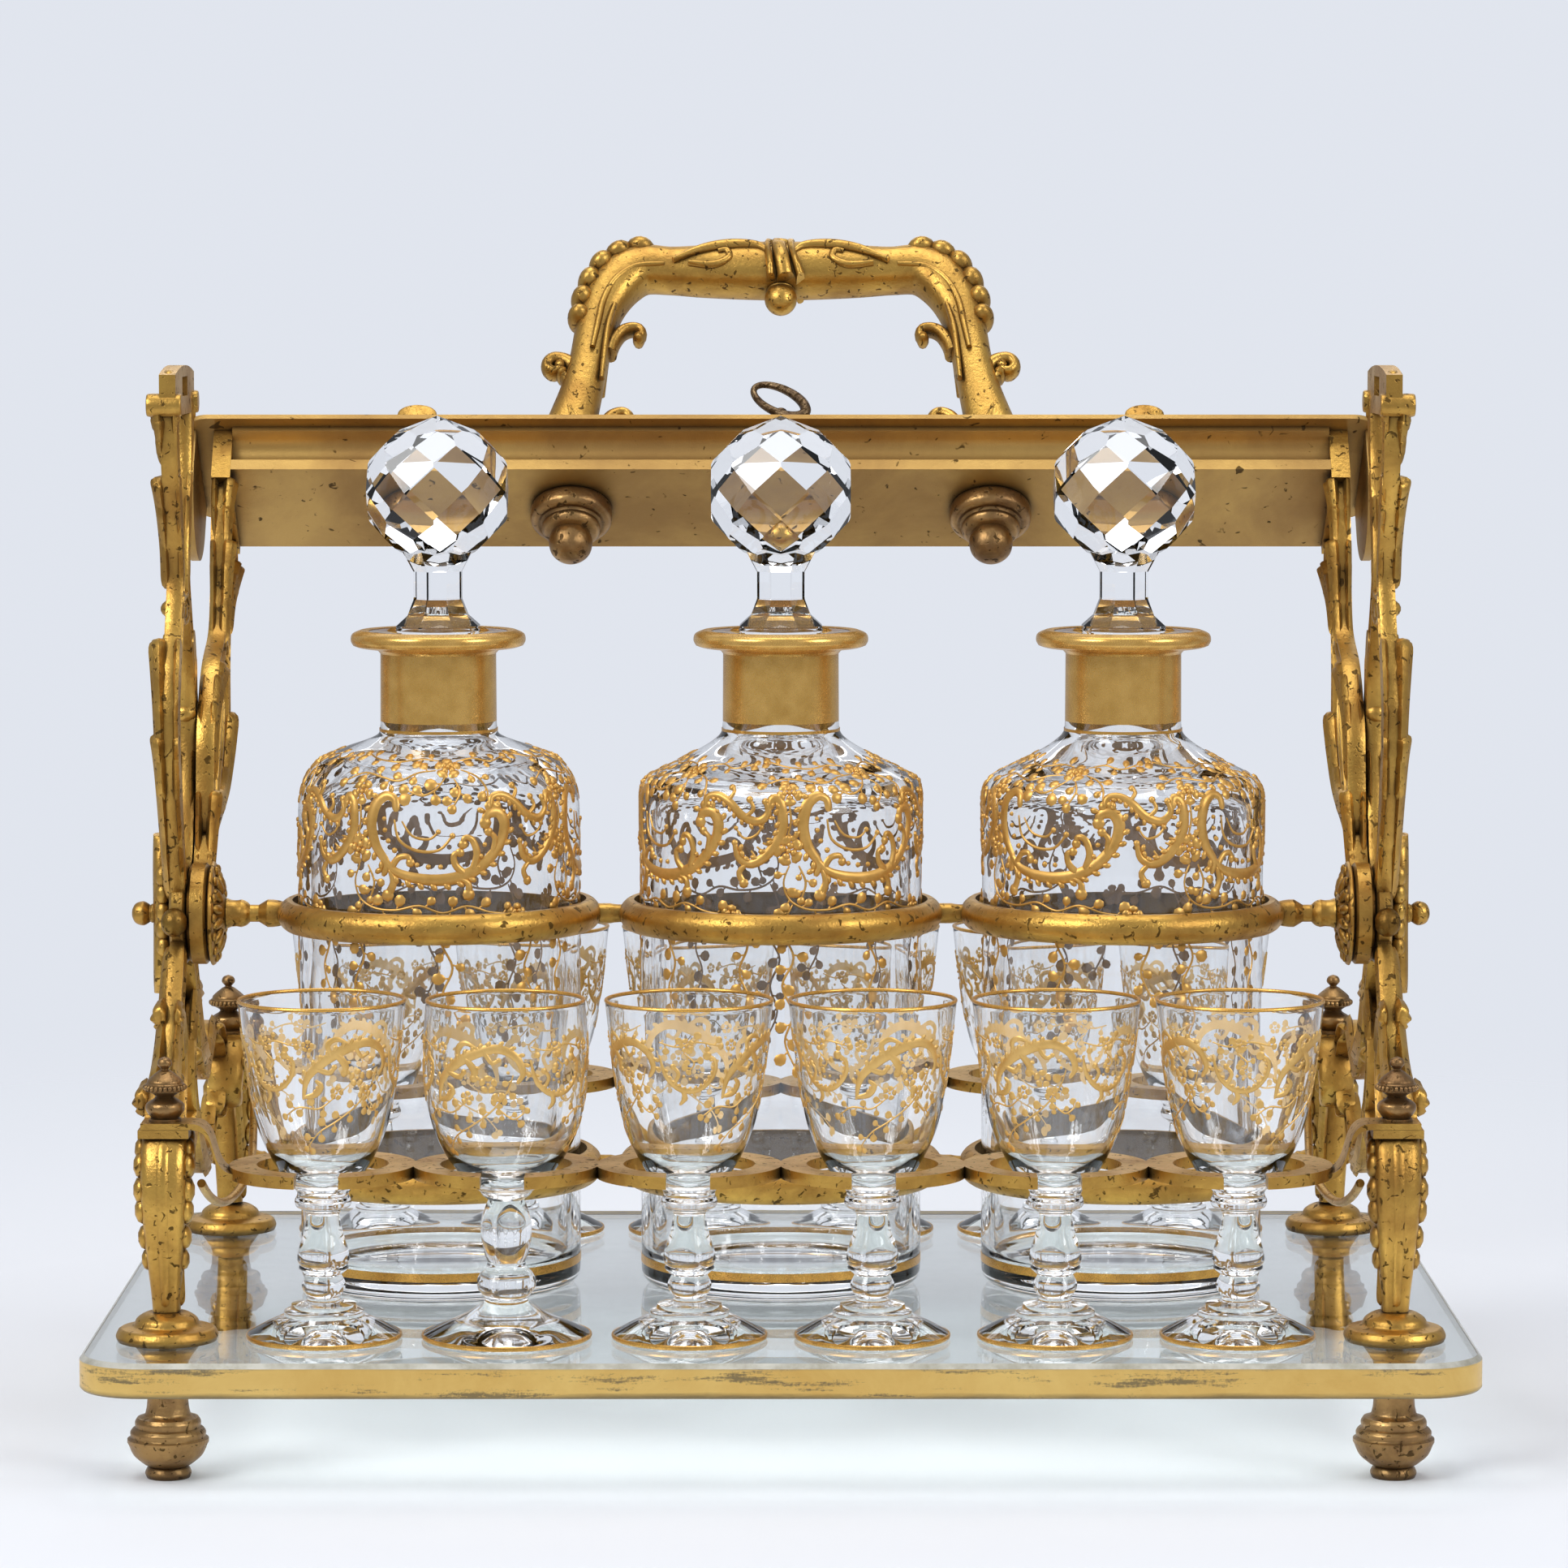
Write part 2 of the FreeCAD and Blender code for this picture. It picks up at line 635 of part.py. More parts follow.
def make_side_frames():
    width, toe_width = size("leg_width"), size("leg_toe_width")
    toe = size("flange_height")
    rise = size("leg_height")
    legs = []
    front = leg_flat()
    # Front view of a leg, narrow at the toe and full at the seat
    half, toe_half = width / 2, toe_width / 2
    face_on = flat_face([
        (LEG_X - toe_half, toe), (LEG_X + toe_half, toe), (LEG_X + half * 0.86, toe + rise * 0.35),
        (LEG_X + half, toe + rise * 0.7), (LEG_X + half, toe + rise), (LEG_X - half, toe + rise),
        (LEG_X - half, toe + rise * 0.7), (LEG_X - half * 0.86, toe + rise * 0.35)])
    sight = cast_forwards([face_on], (LEG_Y + width) * 2)
    rear = [face.mirror(FreeCAD.Vector(0, 0, 0), FreeCAD.Vector(1, 0, 0)) for face in front]
    for faces in (front, rear):
        legs.append(cast_sideways(faces, LEG_X - half, width).common(sight))
    scrolls, ribs, leaves = frame_flat()
    panel = cast_sideways(scrolls, FRAME_X, FRAME_THICKNESS)
    raised_ribs = cast_sideways(ribs, FRAME_X, FRAME_THICKNESS + size("rib_height"))
    raised_leaves = cast_sideways(leaves, FRAME_X, FRAME_THICKNESS + size("leaf_height"))
    casting = panel.multiFuse([raised_ribs, raised_leaves, *legs])
    hole = size("stud_radius") + size("stud_clearance")
    cuts = [Part.makeCylinder(PIN_HOLE.value, (FRAME_THICKNESS + OVERRUN * 2).value,
                              FreeCAD.Vector((FRAME_X - OVERRUN).value, 0, size("pivot_height").value),
                              FreeCAD.Vector(1, 0, 0))]
    for side in (-1, 1):
        cuts.append(Part.makeCylinder(hole.value, (size("stud_grip") + OVERRUN * 2).value, FreeCAD.Vector(
            LEG_X.value, side * LEG_Y.value, (toe - OVERRUN).value)))
    mortise_width = size("bolt_width") + size("bolt_clearance") * 4
    mortise_height = size("bolt_thickness") + size("bolt_clearance") * 4
    mortise_z = size("pivot_height") + BOLT_REACH - mortise_height / 2
    cuts.append(Part.makeBox(
        (FRAME_THICKNESS + OVERRUN * 2).value, mortise_width.value, mortise_height.value,
        FreeCAD.Vector((FRAME_X - OVERRUN).value, -mortise_width.value / 2, mortise_z.value)))
    casting = casting.cut(Part.makeCompound(cuts)).removeSplitter()
    # Stop pin behind the arm's neck, on the lug
    stop = stop_place()
    pin = Part.makeCylinder(
        size("pin_radius").value * 0.8, (GAP + size("arm_thickness")).value,
        FreeCAD.Vector((FRAME_X - GAP - size("arm_thickness")).value, stop[0], stop[1]),
        FreeCAD.Vector(1, 0, 0))
    casting = casting.fuse(pin).removeSplitter()
    finished(feature("right_side_frame", casting), "right_side_frame", (0, 0, TRAY_TOP))
    finished(feature("left_side_frame", mirrored_left(casting)), "left_side_frame", (0, 0, TRAY_TOP))


# Where the stop pin stands so that the open arm's neck rests against it, in (y, above the tray)
def stop_place():
    angle = math.radians(size("open_angle").value)
    along = size("rosette_radius").value * 1.5
    beside = size("arm_band").value * NECK_SHARE / 2 + size("pin_radius").value * 0.8 + GAP.value
    y = along * math.sin(angle) + beside * math.cos(angle)
    z = along * math.cos(angle) - beside * math.sin(angle)
    return y, size("pivot_height").value + z


NECK_SHARE = 1.2
CAVITY_WALL_SHARE = 0.25
BOLT_REACH = size("bar_reach") + size("bar_height") * 0.56


# Arm, in (along Y, above the pivot): a lyre that bulges backwards
def make_gate_arms():
    band = size("arm_band")
    reach = size("bar_reach")
    top = reach + size("bar_height")
    half = size("bar_half_width")
    faces = [disc_face(0, 0, size("rosette_radius"))]
    neck = [(0, 0), (0, reach * 0.1), (0, reach * 0.2)]
    faces.append(scroll_face(neck, (NECK_SHARE, NECK_SHARE, NECK_SHARE), band))
    back = [(0, reach * 0.18), (half * 0.5, reach * 0.27), (half * 1.15, reach * 0.4),
            (half * 1.2, reach * 0.53), (half * 0.6, reach * 0.66), (half * 0.4, reach * 0.76),
            (half * 0.7, reach * 0.88), (half * 0.75, reach)]
    front = [(0, reach * 0.18), (-half * 0.35, reach * 0.27), (-half * 0.7, reach * 0.38),
             (-half * 0.6, reach * 0.52), (-half * 0.05, reach * 0.66), (-half * 0.15, reach * 0.76),
             (-half * 0.55, reach * 0.88), (-half * 0.75, reach)]
    shares = (1.1, 1.0, 1.2, 1.2, 1.1, 1.0, 1.1, 1.2)
    faces.append(scroll_face(back, shares, band))
    faces.append(scroll_face(front, shares, band))
    tie = [(-half * 0.1, reach * 0.68), (half * 0.25, reach * 0.7), (half * 0.55, reach * 0.68)]
    faces.append(scroll_face(tie, (1.2, 1.5, 1.2), band))
    leaf = [(half * 0.2, reach * 0.36), (half * 0.3, reach * 0.45), (half * 0.2, reach * 0.56)]
    faces.append(scroll_face([(0, reach * 0.22), *leaf], (0.8, 1.3, 1.6, 0.6), band))
    head_low = reach - size("underplate_thickness") * 2
    faces.append(flat_face([(-half, head_low), (half, head_low), (half, top), (-half, top)]))
    arm = cast_sideways(faces, ARM_INNER_X, size("arm_thickness"))
    ribs = [scroll_face(route[:7], [RIB_SHARE] * 7, band) for route in (back, front)]
    leaves = [scroll_face(route[2:5], LEAF_SHARES, band) for route in (back, front)]
    for raised_faces, alias in ((ribs, "rib_height"), (leaves, "leaf_height")):
        proud = size("arm_thickness") + size(alias)
        arm = arm.fuse(cast_sideways(raised_faces, ARM_INNER_X - size(alias), proud))
    cuts = [Part.makeCylinder(PIN_HOLE.value, (size("arm_thickness") + OVERRUN * 2).value,
                              FreeCAD.Vector((ARM_INNER_X - OVERRUN).value, 0, 0), FreeCAD.Vector(1, 0, 0))]
    slot_width = size("bolt_width") + size("bolt_clearance") * 2
    slot_height = size("bolt_thickness") + size("bolt_clearance") * 2
    cuts.append(Part.makeBox(
        (size("arm_thickness") + OVERRUN * 2).value, slot_width.value, slot_height.value,
        FreeCAD.Vector((ARM_INNER_X - OVERRUN).value, -slot_width.value / 2,
                       (BOLT_REACH - slot_height / 2).value)))
    arm = arm.cut(Part.makeCompound(cuts)).removeSplitter()
    finished(feature("right_gate_arm", arm), "right_gate_arm", (0, 0, PIVOT_Z), OPEN_TURN)
    finished(feature("left_gate_arm", mirrored_left(arm)), "left_gate_arm", (0, 0, PIVOT_Z), OPEN_TURN)


# An upright cylinder that cuts a round hole
def bore(name, radius, low, length, across):
    item = document.addObject("Part::Cylinder", name)
    bind(item, "Radius", radius)
    bind(item, "Height", length)
    bind(item, "Placement.Base.x", across)
    bind(item, "Placement.Base.z", low)
    return item


# Pieces raised along X are drawn on the YZ plane and moved to their start
def raised_along_x(label, outlines, from_x, length, at_z, rotation):
    body = raised(label, "YZ_Plane", outlines, length)
    return finished(body, label, (from_x, 0, at_z), rotation)


def make_bar():
    reach, height = size("bar_reach"), size("bar_height")
    half, waist, lip = size("bar_half_width"), size("bar_waist_half_width"), size("bar_lip_half_width")
    under = size("underplate_thickness")
    low, top = reach + under, reach + height
    cavity = size("bar_cavity_half_width")
    wall = (half - cavity) * CAVITY_WALL_SHARE
    right = [(half, low), (half, low + height * 0.14), (waist, low + height * 0.36, -0.3),
             (lip * 0.9, top - height * 0.16, -0.35), (lip, top - height * 0.1), (lip, top)]
    outline = both_sides(right)
    hollow = [(-cavity, low + wall), (cavity, low + wall), (cavity, top - wall), (-cavity, top - wall)]
    plate = [(-half, reach), (half, reach), (half, low), (-half, low)]
    stud_hole = size("handle_stud_radius") + size("stud_clearance")
    stud_x = size("handle_stud_place_x")
    for label, outlines in (("bar_body", [outline, hollow]), ("bar_underplate", [plate])):
        blank = raised(label + "_blank", "YZ_Plane", outlines, ARM_INNER_X * 2)
        bind(blank, "Placement.Base.x", -ARM_INNER_X)
        bores = [bore(f"{label}_stud_bore_{number + 1}", stud_hole, reach - OVERRUN,
                      height + OVERRUN * 2, side * stud_x) for number, side in enumerate((-1, 1))]
        if label == "bar_body":
            bores.append(bore("key_bore", size("key_stem_radius") + size("bolt_clearance"),
                              BOLT_REACH, height, 0))
        tools = document.addObject("Part::Compound", label + "_bores")
        tools.Links = bores
        finished(cut(label, blank, tools), label, (0, 0, PIVOT_Z), OPEN_TURN)
    # End plates hang from the top plate outside the fixed heads
    end_x = FRAME_OUTER_X + GAP
    round_share = 0.9
    turn_level = top - size("end_plate_height") + half * round_share
    end_outline = [(half, top), (-half, top), (-half, turn_level), (half, turn_level, round_share)]
    thick = size("end_plate_thickness")
    raised_along_x("right_end_plate", [end_outline], end_x, thick, PIVOT_Z, OPEN_TURN)
    raised_along_x("left_end_plate", [end_outline], -end_x - thick, thick, PIVOT_Z, OPEN_TURN)
    # Top plate with rounded corners and small holes for the handle's studs and the key
    plate_half = size("top_plate_half_width")
    plate_length = end_x + thick + size("top_plate_overhang")
    outline = rounded_plate(plate_length, plate_half, plate_half * 0.3)
    top_plate = raised("bar_top_plate", "XY_Plane", [outline], size("top_plate_thickness"))
    holes = top_plate.newObject("Sketcher::SketchObject", "top_plate_holes")
    holes.AttachmentSupport = [(origin_plane(top_plate, "XY_Plane"), "")]
    holes.MapMode = "FlatFace"
    draw_circles(holes, [(-stud_x, 0), (stud_x, 0)], stud_hole)
    draw_circles(holes, [(0, 0)], size("key_stem_radius") + size("bolt_clearance"))
    pocket = top_plate.newObject("PartDesign::Pocket", "top_plate_pocket")
    pocket.Profile = holes
    pocket.Type = "ThroughAll"
    pocket.Reversed = True
    top_plate.Tip = pocket
    place_on_gate(top_plate, "bar_top_plate", 0, top)


# Puts a piece on the tilted gate: across along X, height above the pivot along the gate
def place_on_gate(item, label, across, height):
    angle = math.radians(size("open_angle").value)
    rise = f"({words(height)}) * cos(sizes.open_angle * 1 deg)"
    back = f"({words(height)}) * sin(sizes.open_angle * 1 deg)"
    at_z = PIVOT_Z + Size(amount(height) * math.cos(angle), rise)
    at_y = Size(amount(height) * math.sin(angle), back)
    return finished(item, label, (across, at_y, at_z), OPEN_TURN)


BAR_TOP = size("bar_reach") + size("bar_height") + size("top_plate_thickness")


# Handle, in (along X, above the bar's top plate): half of its outline, mirrored
def make_handle():
    height, span = size("handle_height"), size("handle_half_span")
    outer_shares = [(1.0, 0.0), (0.985, 0.08), (0.93, 0.18), (0.895, 0.27), (0.93, 0.37), (0.85, 0.5),
                    (0.84, 0.63), (0.79, 0.79), (0.70, 0.92), (0.58, 0.965), (0.5, 0.92),
                    (0.36, 0.945), (0.21, 0.975), (0.1, 0.965), (0.0, 1.0)]
    inner_shares = [(0.0, 0.66), (0.1, 0.685), (0.22, 0.70), (0.34, 0.68), (0.46, 0.70), (0.555, 0.68),
                    (0.6, 0.575), (0.655, 0.60), (0.685, 0.5), (0.72, 0.4), (0.735, 0.25),
                    (0.71, 0.13), (0.69, 0.05), (0.68, 0.0)]
    outer = [(span * p[0], height * p[1]) for p in outer_shares]
    inner = [(span * p[0], height * p[1]) for p in inner_shares]
    outer_full = [vector(*p) for p in outer] + [vector(-p[0], p[1]) for p in outer[-2::-1]]
    inner_full = [vector(-p[0], p[1]) for p in inner[::-1]] + [vector(*p) for p in inner[1:]]
    outer_curve, inner_curve = Part.BSplineCurve(), Part.BSplineCurve()
    outer_curve.interpolate(outer_full)
    inner_curve.interpolate(inner_full)
    wire = Part.Wire([
        outer_curve.toShape(), Part.LineSegment(outer_full[-1], inner_full[0]).toShape(),
        inner_curve.toShape(), Part.LineSegment(inner_full[-1], outer_full[0]).toShape()])
    depth = size("handle_depth")
    slab = cast_forwards([Part.Face(wire)], depth)
    # Side view: full at the feet and the grip, slimmer in the posts
    half = amount(depth) / 2
    tall = amount(height)
    side = [(0.95, 0.0), (0.8, 0.15), (0.72, 0.35), (0.8, 0.55), (0.95, 0.72), (0.9, 0.88), (0.45, 1.0)]
    right = [vector(half * p[0], tall * p[1]) for p in side]
    left = [vector(-half * p[0], tall * p[1]) for p in side]
    right_curve, left_curve = Part.BSplineCurve(), Part.BSplineCurve()
    right_curve.interpolate(right)
    left_curve.interpolate(left[::-1])
    top_arc = Part.Arc(right[-1], vector(0, tall * 1.02), left[-1])
    side_wire = Part.Wire([right_curve.toShape(), top_arc.toShape(), left_curve.toShape(),
                           Part.LineSegment(left[0], right[0]).toShape()])
    sight = cast_sideways([Part.Face(side_wire)], -span - OVERRUN, (span + OVERRUN) * 2)
    shape = slab.common(sight)
    drop = Part.makeSphere(size("nut_ball_radius").value * 0.75,
                           FreeCAD.Vector(0, 0, tall * inner_shares[0][1]))
    shape = shape.fuse(drop)
    stud_hole = size("handle_stud_radius") + size("stud_clearance")
    for side_sign in (-1, 1):
        hole = Part.makeCylinder(stud_hole.value, (size("stud_grip") + OVERRUN).value, FreeCAD.Vector(
            side_sign * size("handle_stud_place_x").value, 0, -OVERRUN.value))
        shape = shape.cut(hole)
    place_on_gate(feature("handle", shape.removeSplitter()), "handle", 0, BAR_TOP)


def make_handle_fixings():
    disc, step, ball = size("nut_radius"), size("nut_step_radius"), size("nut_ball_radius")
    height = size("nut_height")
    hole = size("handle_stud_radius") + size("stud_clearance")
    # Drawn hanging down from the bar's underside
    outline = [
        (hole, 0), (disc * 0.9, 0), (disc * 0.94, -height * 0.26, -0.5), (step * 1.05, -height * 0.32),
        (step, -height * 0.5, -0.4), (ball * 0.86, -height * 0.54), (ball * 0.9, -height * 0.82, -0.35),
        (ball * 0.3, -height, -0.25), (0, -height), (0, -height * 0.6), (hole, -height * 0.6),
    ]
    nut = turned("nut", outline)
    stud_x = size("handle_stud_place_x")
    nuts = group("acorn_nuts", nut, [(-stud_x, 0, 0), (stud_x, 0, 0)])
    place_on_gate(nuts, "acorn_nuts", 0, size("bar_reach"))
    stud = document.addObject("Part::Cylinder", "handle_stud")
    bind(stud, "Radius", size("handle_stud_radius"))
    depth = size("nut_height") * 0.55
    bind(stud, "Height", depth + size("bar_height") + size("top_plate_thickness") + size("stud_grip") * 0.9)
    studs = group("handle_studs", stud, [(-stud_x, 0, 0), (stud_x, 0, 0)])
    place_on_gate(studs, "handle_studs", 0, size("bar_reach") - depth)


def make_tabs():
    radius, thick, tall = size("tab_radius"), size("tab_thickness"), size("tab_height")
    outline = [(-radius, 0), (radius, 0), (radius, tall - radius * 0.4), (-radius, tall - radius * 0.4, 0.5)]
    tab = raised("tab", "XZ_Plane", [outline], thick)
    tab_x = size("tab_place_x")
    tabs = group("bar_tabs", tab, [(-tab_x, thick / 2, 0), (tab_x, thick / 2, 0)])
    place_on_gate(tabs, "bar_tabs", 0, BAR_TOP)


def box(name, length, width, height, at):
    item = document.addObject("Part::Box", name)
    bind(item, "Length", length)
    bind(item, "Width", width)
    bind(item, "Height", height)
    bind(item, "Placement.Base.x", at[0])
    bind(item, "Placement.Base.y", at[1])
    bind(item, "Placement.Base.z", at[2])
    return item


def cut(name, base, tool):
    item = document.addObject("Part::Cut", name)
    item.Base = base
    item.Tool = tool
    return item


def make_lock():
    bolt_width, bolt_thick = size("bolt_width"), size("bolt_thickness")
    length, width = size("lock_length"), size("lock_width")
    stem = size("key_stem_radius")
    clear = size("bolt_clearance")
    wall = (size("bar_half_width") - size("bar_cavity_half_width")) * CAVITY_WALL_SHARE
    under = size("underplate_thickness")
    tall = size("bar_height") - under - wall * 2
    case = box("lock_block", length, width, tall, (-length / 2, -width / 2, 0))
    keyway = bore("keyway", stem + clear, tall * 0.3, tall, 0)
    place_on_gate(cut("lock_case", case, keyway), "lock_case", 0, size("bar_reach") + under + wall)
    # Bolts, drawn back so that their tips stay inside the arms
    tip = ARM_OUTER_X - clear
    start = length / 2 + clear
    slot_width = (size("handle_stud_radius") + clear) * 2
    slot_length = slot_width + size("bolt_throw")
    slot_start = size("handle_stud_place_x") - slot_width / 2 - size("bolt_throw")
    for label, from_x in (("right_bolt", start), ("left_bolt", -tip)):
        bolt = box(label + "_bar", tip - start, bolt_width, bolt_thick,
                   (from_x, -bolt_width / 2, -bolt_thick / 2))
        slot_x = slot_start if label == "right_bolt" else -slot_start - slot_length
        slot = box(label + "_slot", slot_length, slot_width, bolt_thick * 2,
                   (slot_x, -slot_width / 2, -bolt_thick))
        place_on_gate(cut(label, bolt, slot), label, 0, BOLT_REACH)
    hole = stem + clear
    ring = size("escutcheon_radius")
    thick = size("escutcheon_thickness")
    plate = turned("lock_escutcheon", [(hole, 0), (ring, 0), (ring * 0.9, thick), (hole, thick)])
    place_on_gate(plate, "lock_escutcheon", 0, BAR_TOP)


# Key: a stem in the lock with a collar and an oval bow of round wire above the bar
def make_key():
    stem, wire = size("key_stem_radius").value, size("key_wire_radius").value
    clear = size("bolt_clearance").value
    tall, wide = size("key_bow_height").value, size("key_bow_width").value
    shank_low = -(BAR_TOP - BOLT_REACH).value
    collar = size("escutcheon_thickness").value + clear
    shank = Part.makeCylinder(stem, collar + stem * 2.4 - shank_low, FreeCAD.Vector(0, 0, shank_low))
    ridge = Part.makeCylinder(stem * 1.6, stem * 0.8, FreeCAD.Vector(0, 0, collar + stem * 0.5))
    bow_low = collar + stem * 2.2
    centre = FreeCAD.Vector(0, 0, bow_low + tall / 2)
    side = FreeCAD.Vector(wide / 2, 0, centre.z)
    path = Part.Ellipse(side, FreeCAD.Vector(0, 0, centre.z + tall / 2), centre)
    spine = Part.Wire(path.toShape())
    ring = Part.Wire(Part.Circle(side, FreeCAD.Vector(0, 0, 1), wire).toShape())
    bow = spine.makePipeShell([ring], True, False)
    shape = shank.multiFuse([ridge, bow]).removeSplitter()
    place_on_gate(feature("key", shape), "key", 0, BAR_TOP)


def make_pivots():
    rosette, thick = size("rosette_radius"), size("rosette_thickness")
    pin, ball = size("pin_radius"), size("pin_ball_radius")
    # Turned about X: across is the distance from the tray's centre, up is the radius
    inner = ARM_INNER_X - GAP
    outline = [(inner, 0), (inner, rosette * 0.93), (inner - thick * 0.3, rosette, 0.4),
               (inner - thick * 0.5, rosette * 0.86), (inner - thick * 0.62, rosette * 0.6, 0.2),
               (inner - thick * 0.66, rosette * 0.56), (inner - thick, rosette * 0.3, 0.3),
               (inner - thick, 0)]
    for label, points in (("right_rosette", outline), ("left_rosette", mirrored_outline(outline))):
        finished(turned(label, points, "H_Axis"), label, (0, 0, PIVOT_Z))
    outer = FRAME_OUTER_X + size("boss_thickness")
    pin_outline = [(inner, 0), (inner, pin), (outer + ball * 0.3, pin), (outer + ball * 0.35, ball * 0.8),
                   (outer + ball * 1.4, ball * 0.8, 0.45),
                   (outer + ball * 1.7, ball * 0.3, 0.2), (outer + ball * 1.7, 0)]
    for label, points in (("right_pivot_pin", pin_outline),
                          ("left_pivot_pin", mirrored_outline(pin_outline))):
        finished(turned(label, points, "H_Axis"), label, (0, 0, PIVOT_Z))
    # Outer boss: a smooth plump scroll plate
    high, wide = size("boss_half_height"), size("boss_half_width")
    half = [(wide * 0.3, -high), (wide * 0.85, -high * 0.6), (wide, 0), (wide * 0.8, high * 0.55),
            (wide * 0.25, high)]
    right_side, left_side = Part.BSplineCurve(), Part.BSplineCurve()
    right_side.interpolate([vector(*p) for p in half])
    left_side.interpolate([vector(-p[0], p[1]) for p in half[::-1]])
    ends = [vector(-wide * 0.3, -high), vector(wide * 0.3, -high), vector(wide * 0.25, high),
            vector(-wide * 0.25, high)]
    wire = Part.Wire([right_side.toShape(), Part.Arc(ends[2], vector(0, high * 1.08), ends[3]).toShape(),
                      left_side.toShape(), Part.Arc(ends[0], vector(0, -high * 1.08), ends[1]).toShape()])
    thick = size("boss_thickness")
    plate = cast_sideways([Part.Face(wire)], FRAME_OUTER_X, thick)
    # Its outer face is crowned: it is the part of the plate inside a large ball
    crown = (high * 1.15).value
    depth = thick.value
    ball_radius = (crown * crown + depth * depth) / (2 * depth)
    dome = Part.makeSphere(ball_radius, FreeCAD.Vector(FRAME_OUTER_X.value + depth - ball_radius, 0, 0))
    hole = Part.makeCylinder((pin + size("stud_clearance")).value, depth + 2 * OVERRUN.value,
                             FreeCAD.Vector((FRAME_OUTER_X - OVERRUN).value, 0, 0), FreeCAD.Vector(1, 0, 0))
    boss = plate.common(dome).cut(hole)
    finished(feature("right_outer_boss", boss), "right_outer_boss", (0, 0, PIVOT_Z))
    finished(feature("left_outer_boss", mirrored_left(boss)), "left_outer_boss", (0, 0, PIVOT_Z))


# Half-round section of a ring, flat inside
def ring_outline(height):
    crown = (RING_OUTER - RING_INNER) * 0.55
    edge = RING_OUTER - crown
    return [(RING_INNER, 0), (edge, 0), (edge, height, 0.62), (RING_INNER, height)]


def make_ring_tier(label, height, at_z, with_bobbins):
    pitch = DECANTER_PITCH
    ring = turned(label + "_ring", ring_outline(height))
    rings = []
    for number, across in enumerate((-pitch, 0, pitch)):
        link = document.addObject("App::Link", f"{label}_ring_{number + 1}")
        link.LinkedObject = ring
        bind(link, "Placement.Base.x", across)
        rings.append(link)
    # Small turned links bridge the rings
    reach = (pitch - RING_INNER * 2) / 2
    radius = size("link_radius")
    sink = (RING_OUTER - RING_INNER) * 0.4
    link_outline = [(-reach + sink, 0), (-reach + sink, radius * 0.9), (0, radius * 0.9, -0.12),
                    (reach - sink, radius * 0.9, -0.12), (reach - sink, 0)]
    pieces = list(rings)
    for number, side in enumerate((-1, 1)):
        bobbin = turned(f"{label}_link_{number + 1}", link_outline[::-1], "H_Axis")
        bind(bobbin, "Placement.Base.x", pitch / 2 * side)
        bind(bobbin, "Placement.Base.z", height / 2)
        pieces.append(bobbin)
    end = pitch + RING_OUTER - sink
    big = size("end_bobbin_radius")
    last = ARM_INNER_X - GAP - size("rosette_thickness") if with_bobbins else end + big * 2.2
    run = last - end
    bobbin_outline = [(end, 0), (end, big * 0.8), (end + run * 0.3, big, -0.1),
                      (end + run * 0.45, big * 0.62), (end + run * 0.6, big * 0.62),
                      (end + run * 0.75, big, -0.2), (last, big * 1.1, 0.2), (last, 0)]
    for name, points in (("right_end", bobbin_outline), ("left_end", mirrored_outline(bobbin_outline))):
        bobbin = turned(f"{label}_{name}", points, "H_Axis")
        bind(bobbin, "Placement.Base.z", height / 2)
        pieces.append(bobbin)
    tier = document.addObject("Part::MultiFuse", label)
    tier.Shapes = pieces
    tier.Refine = True
    finished(tier, label, (0, 0, at_z))
    return last


# Thin curved rods from the legs' inner sides to the lower tier's ends
def make_stays(tier_end):
    radius = size("stay_radius").value
    ring_z = (TRAY_TOP + size("lower_ring_place") + size("lower_ring_height") / 2).value
    foot_z = (TRAY_TOP + size("flange_height") + size("leg_height") * VOLUTE_SHARES[1]).value
    foot_x = (LEG_X - size("leg_width") / 2).value - radius - size("pin_clearance").value
    foot_y = LEG_Y.value * VOLUTE_SHARES[0]
    end_x = tier_end.value + radius + size("pin_clearance").value
    rods = []
    for side_x in (-1, 1):
        for side_y in (-1, 1):
            start = FreeCAD.Vector(side_x * foot_x, side_y * foot_y, foot_z)
            bend = FreeCAD.Vector(side_x * (foot_x * 0.6 + end_x * 0.4), side_y * foot_y * 0.55,
                                  ring_z - radius * 3)
            finish = FreeCAD.Vector(side_x * end_x, side_y * radius * 1.3, ring_z)
            path = Part.Wire(Part.Arc(start, bend, finish).toShape())
            direction = path.Edges[0].tangentAt(path.Edges[0].FirstParameter)
            section = Part.Wire(Part.Circle(start, direction, radius).toShape())
            rods.append(path.makePipeShell([section], True, False))
    finished(feature("lower_ring_stays", Part.makeCompound(rods)), "lower_ring_stays")


